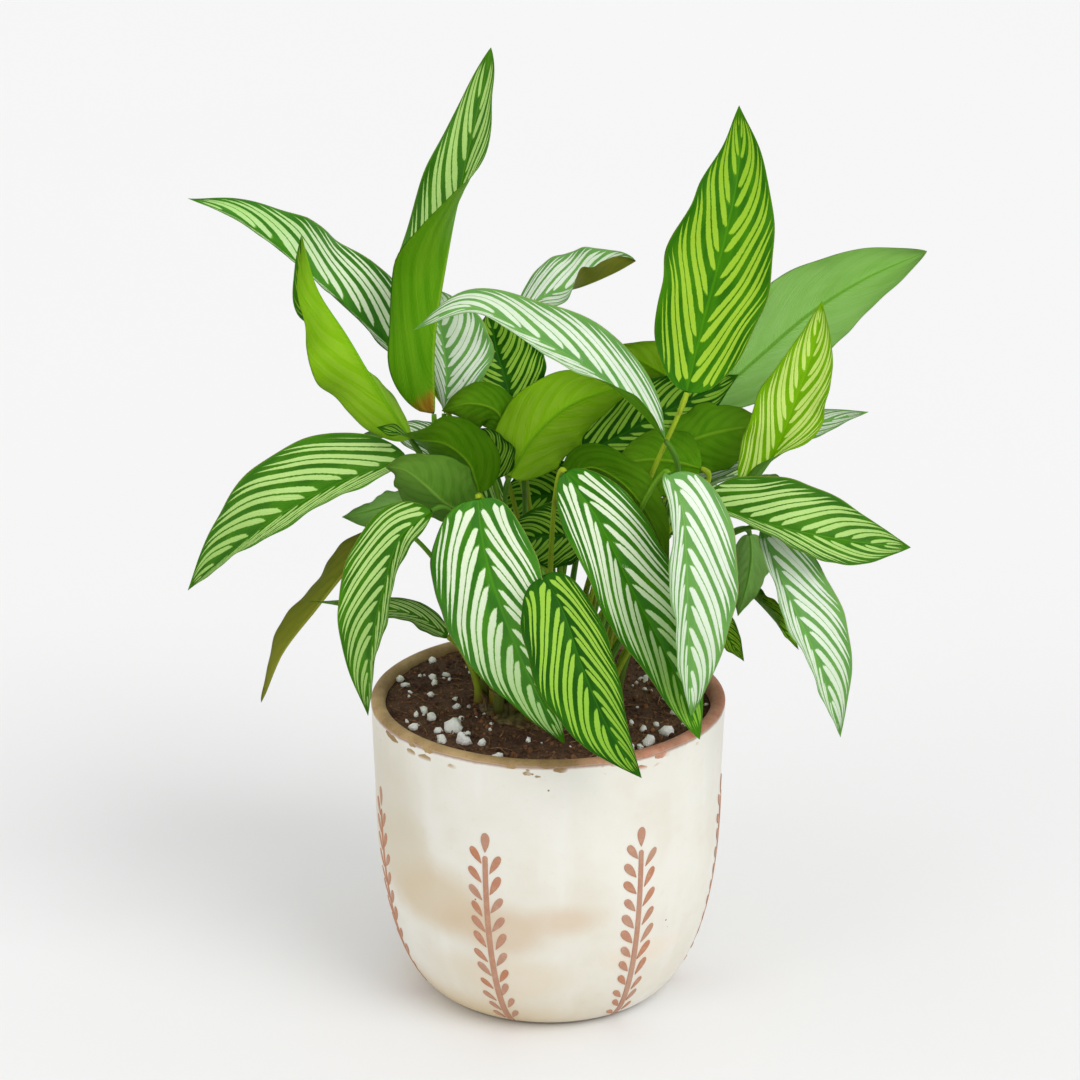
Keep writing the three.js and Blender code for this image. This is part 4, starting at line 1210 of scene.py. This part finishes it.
def soil_height(x, y):
    """The mix is banked up a little at the back left, and uneven everywhere."""
    x, y = np.atleast_1d(np.asarray(x, float)), np.atleast_1d(np.asarray(y, float))
    radius = np.hypot(x, y)
    towards = np.cos(np.arctan2(y, x) - math.radians(SOIL.bank_azimuth))
    bank = SOIL.bank * ramp(towards, -0.3, 1) * ramp(radius, *SOIL.bank_reach)
    flat = np.column_stack([x, y, np.zeros(len(x))])
    rough = roughened(flat, SOIL.rough) * SOIL.roughness
    return SOIL.top + bank + rough - SOIL.sunk_edge * ramp(radius, *SOIL.edge_reach)


def soil_piece():
    inner = float(pot_radius(SOIL.top)) - POT.wall - SOIL.clear_of_wall
    rings = np.linspace(0, 1, SOIL.rings) ** SOIL.crowding * inner
    down = np.linspace(SOIL.top - SOIL.under_top, POT.floor + GAP, SOIL.side_rows)
    sides = np.column_stack([pot_radius(down) - POT.wall - GAP, down])
    top = np.column_stack([rings, np.full(len(rings), SOIL.top)])
    outline = np.vstack([[0, POT.floor + GAP], sides[::-1], top[::-1]])
    points, faces = turned(outline, SOIL.segments)
    high = points[:, 2] >= SOIL.top
    points[high, 2] = soil_height(points[high, 0], points[high, 1])
    soil = add_mesh("potting_mix", points, faces, [SOIL_FINISHES[0]])
    place(soil, "potting_soil", "soil")


def lumps(centres, sizes, seed, stretch, roughness, jagged=0.0, detail=1):
    """Little uneven lumps, one for each centre, as points and faces, and how many faces each has."""
    ball = bpy.data.meshes.new("lump")
    shape = bmesh.new()
    bmesh.ops.create_icosphere(shape, subdivisions=detail, radius=0.5)
    shape.to_mesh(ball)
    shape.free()
    unit_points = np.array([tuple(vertex.co) for vertex in ball.vertices])
    unit_faces = np.array([tuple(face.vertices) for face in ball.polygons])
    bpy.data.meshes.remove(ball)
    chance = np.random.default_rng(seed)
    points, faces = [], []
    for number, (centre, size) in enumerate(zip(centres, sizes)):
        turn, _ = np.linalg.qr(chance.normal(size=(3, 3)))
        turn[:, 0] *= np.sign(np.linalg.det(turn))
        uneven = 1 + roughness * bumps(unit_points + number * 3.1, 0.42, seed)
        uneven += jagged * chance.uniform(-1, 1, len(unit_points))
        own = unit_points * uneven[:, None] * chance.uniform(*stretch, size=3)
        points.append(own @ turn.T * size + centre)
        faces.append(unit_faces + number * len(unit_points))
    return np.vstack(points), np.vstack(faces), len(unit_faces)


def scattered(count, seed, inner=0.0, outer=71.5):
    """Even random places on the soil, as x and y, and the source of chance that they came from."""
    chance = np.random.default_rng(seed)
    radius = np.sqrt(chance.uniform(inner ** 2, outer ** 2, count))
    turn = chance.uniform(0, 2 * np.pi, count)
    return radius * np.cos(turn), radius * np.sin(turn), chance


def crumbs_piece():
    x, y, chance = scattered(CRUMBS, seed=21)
    sizes = np.clip(chance.lognormal(0.15, 0.5, CRUMBS), 0.5, 3.6)
    centres = np.column_stack([x, y, soil_height(x, y) + sizes * 0.12])
    points, faces, each = lumps(centres, sizes, seed=22, stretch=(0.55, 1.2), roughness=0.35)
    kinds = np.repeat(chance.integers(0, len(SOIL_FINISHES), CRUMBS), each)
    crumbs = add_mesh("soil_crumbs", points, faces.tolist(), SOIL_FINISHES, kinds)
    place(crumbs, "potting_soil")


def fibres_piece():
    """Thin roots and bark fibres that lie on the mix."""
    x, y, chance = scattered(FIBRES, seed=31, inner=10, outer=69)
    points, faces = [], []
    steps = np.linspace(0, 1, FIBRE.rings)
    for start_x, start_y in zip(x, y):
        length, thick = chance.uniform(*FIBRE.length), chance.uniform(*FIBRE.radius)
        turn = chance.uniform(0, 2 * np.pi) + chance.normal(0, FIBRE.curl) * steps
        line_x = start_x + np.cumsum(np.cos(turn)) * length / FIBRE.rings
        line_y = start_y + np.cumsum(np.sin(turn)) * length / FIBRE.rings
        inside = np.minimum(1, FIBRE.within / np.maximum(np.hypot(line_x, line_y), 1))
        line_x, line_y = line_x * inside, line_y * inside
        lift = FIBRE.lift + chance.uniform(0, FIBRE.arch) * np.sin(np.pi * steps)
        centre = np.column_stack([line_x, line_y, soil_height(line_x, line_y) + lift])
        along = unit(np.gradient(centre, axis=0) + 1e-6)
        radius = thick * (1 - FIBRE.narrowing * steps)
        own_points, own_faces, _ = tube(centre, along, radius, FIBRE.sides, (0.1, 0.2, 1))
        faces += [tuple(len(points) + corner for corner in face) for face in own_faces]
        points.extend(own_points)
    fibres = add_mesh("soil_fibres", points, faces, [fibre_finish()])
    place(fibres, "potting_soil")


def grains_pieces():
    """The grains that are pieces of their own, and in one piece the small ones that lie about."""
    material = perlite_finish()
    for number, (x, y, size) in enumerate(GRAINS, 1):
        node = f"perlite_grain_{number:02d}"
        centre = np.array([[x, y, soil_height(x, y)[0] + size * 0.3]])
        points, faces, _ = lumps(centre, [size * 1.45], seed=40 + number, stretch=(0.6, 1.2), roughness=0.6,
                                 jagged=0.14, detail=2)
        place(add_mesh(node + "_puffed", points, faces.tolist(), [material]), "perlite", node)
    seen = np.array(SMALL_GRAINS)
    x, y, chance = scattered(LOOSE_GRAINS, seed=51, inner=30)
    sizes = np.concatenate([seen[:, 2], np.clip(chance.lognormal(0.45, 0.4, LOOSE_GRAINS), 0.8, 3.2)])
    x, y = np.concatenate([seen[:, 0], x]), np.concatenate([seen[:, 1], y])
    centres = np.column_stack([x, y, soil_height(x, y) + sizes * 0.22])
    points, faces, _ = lumps(centres, sizes * 1.55, seed=52, stretch=(0.55, 1.2), roughness=0.6, jagged=0.2)
    place(add_mesh("loose_perlite", points, faces.tolist(), [material]), "perlite")


def sheath(chance):
    """The inner face of one dry sheath as a grid of points, and which way is outward from the plant."""
    turn, away = chance.uniform(0, 2 * np.pi), chance.uniform(*SHEATH.away)
    foot = np.array([math.cos(turn) * away, math.sin(turn) * away, SOIL.top + SHEATH.foot])
    height, width, lean = (chance.uniform(*reach) for reach in (SHEATH.height, SHEATH.width, SHEATH.lean))
    outward = np.array([math.cos(turn), math.sin(turn), 0])
    aside = np.array([-outward[1], outward[0], 0])
    up = np.linspace(0, 1, SHEATH.rows)[:, None, None]
    over = np.linspace(-1, 1, SHEATH.columns)[None, :, None]
    half = width / 2 * (1 - up ** 1.6)
    sheet = (foot + outward * (lean * height * up ** 2 * 0.7 - (over ** 2) * half * SHEATH.curl)
             + aside * over * half + np.array([0, 0, 1]) * height * up)
    return sheet, outward


def crown_piece():
    """The low mass of rhizome that the stems rise from, with the dry sheaths of old leaves round them."""
    shares = np.linspace(0, 1, CROWN.rings)
    low = SOIL.top - CROWN.sunk
    top = low + (CROWN.thickness + CROWN.swollen) * (1 - shares ** CROWN.edge_power)
    slope = np.column_stack([shares * CROWN.radius, top])[::-1][1:]
    outline = np.vstack([[0, low], [CROWN.radius, low], slope])
    points, faces = turned(outline, CROWN.segments)
    above = points[:, 2] > low + 0.1
    points[above, 2] += roughened(points * [1, 1, 0], CROWN.rough)[above]
    points = list(points)
    chance = np.random.default_rng(63)
    for _ in range(SHEATH.count):
        first = len(points)
        sheet, outward = sheath(chance)
        for offset in (0.0, SHEATH.thickness):
            points.extend((sheet + outward * offset).reshape(-1, 3))
        rows, columns = SHEATH.rows, SHEATH.columns
        faces += grid_faces(rows, columns, first)
        faces += [face[::-1] for face in grid_faces(rows, columns, first + rows * columns)]
    crown = add_mesh("rhizome_and_sheaths", points, faces, [sheath_finish()])
    place(crown, "root_crown", "root_crown")


# ---- floor, light and camera ----

def floor_piece():
    turn = full_turn(FLOOR.sides)
    points = np.column_stack([np.cos(turn), np.sin(turn), turn * 0]) * FLOOR.radius
    add_mesh("pale_floor", points, [tuple(range(FLOOR.sides))], [floor_finish()])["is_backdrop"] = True


def soft_light():
    """A pale room, a broad lamp high on the right and a weaker one on the left."""
    world = bpy.data.worlds.new("pale_room")
    world.use_nodes = True
    background = world.node_tree.nodes["Background"].inputs
    background["Color"].default_value = (1, 1, 1, 1)
    background["Strength"].default_value = LIGHT.room
    bpy.context.scene.world = world
    for name, (elevation, azimuth, strength, spread) in LIGHT.suns.items():
        lamp = bpy.data.lights.new(name, "SUN")
        lamp.energy = strength
        lamp.angle = math.radians(spread)
        add_object(name, lamp).rotation_euler = (math.radians(90 - elevation), 0, math.radians(azimuth))


def photo_camera():
    data = bpy.data.cameras.new("photo_camera")
    data.sensor_width = SENSOR_WIDTH
    data.lens = SENSOR_WIDTH * CAMERA.focal_pixels / PHOTO_SIDE
    data.clip_start, data.clip_end = CAMERA.clip
    pitch = math.radians(CAMERA.pitch)
    back = Vector((0, -math.cos(pitch), math.sin(pitch))) * CAMERA.distance
    camera = add_object("photo_camera", data)
    camera.location = (Vector(CAMERA.aim) + back) * MM
    camera.rotation_euler = (math.pi / 2 - pitch, 0, 0)
    bpy.context.scene.camera = camera
    bpy.context.scene.view_settings.view_transform = "Standard"


# ---- the plant in its pot ----

photo_camera()
soft_light()
floor_piece()

CLAY = fired_clay_group()
PLACES = vein_places_group()
BARRED = barred_blade_group(PLACES)
PLAIN = leaf_underside_group(PLACES)
BLADES = {name: barred_finish(BARRED, name, *finish) for name, finish in BLADE_FINISHES.items()}
UNDERSIDES = {name: underside_finish(PLAIN, name, *finish) for name, finish in UNDERSIDE_FINISHES.items()}
STEMS = [stem_finish(name, *colours) for name, colours in STEM_FINISHES.items()]
SOIL_FINISHES = [soil_finish(name, *colours) for name, colours in SOIL_COLOURS.items()]

pot_piece()
sprigs_piece()
soil_piece()
crumbs_piece()
fibres_piece()
grains_pieces()
crown_piece()
for number, (name, leaf) in enumerate(LEAVES.items(), 1):
    leaf_piece(number, name, leaf)

boxes = {"cad": cad_box, "visual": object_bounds()}
{name: [list(map(float, corner)) for corner in box] for name, box in boxes.items()}
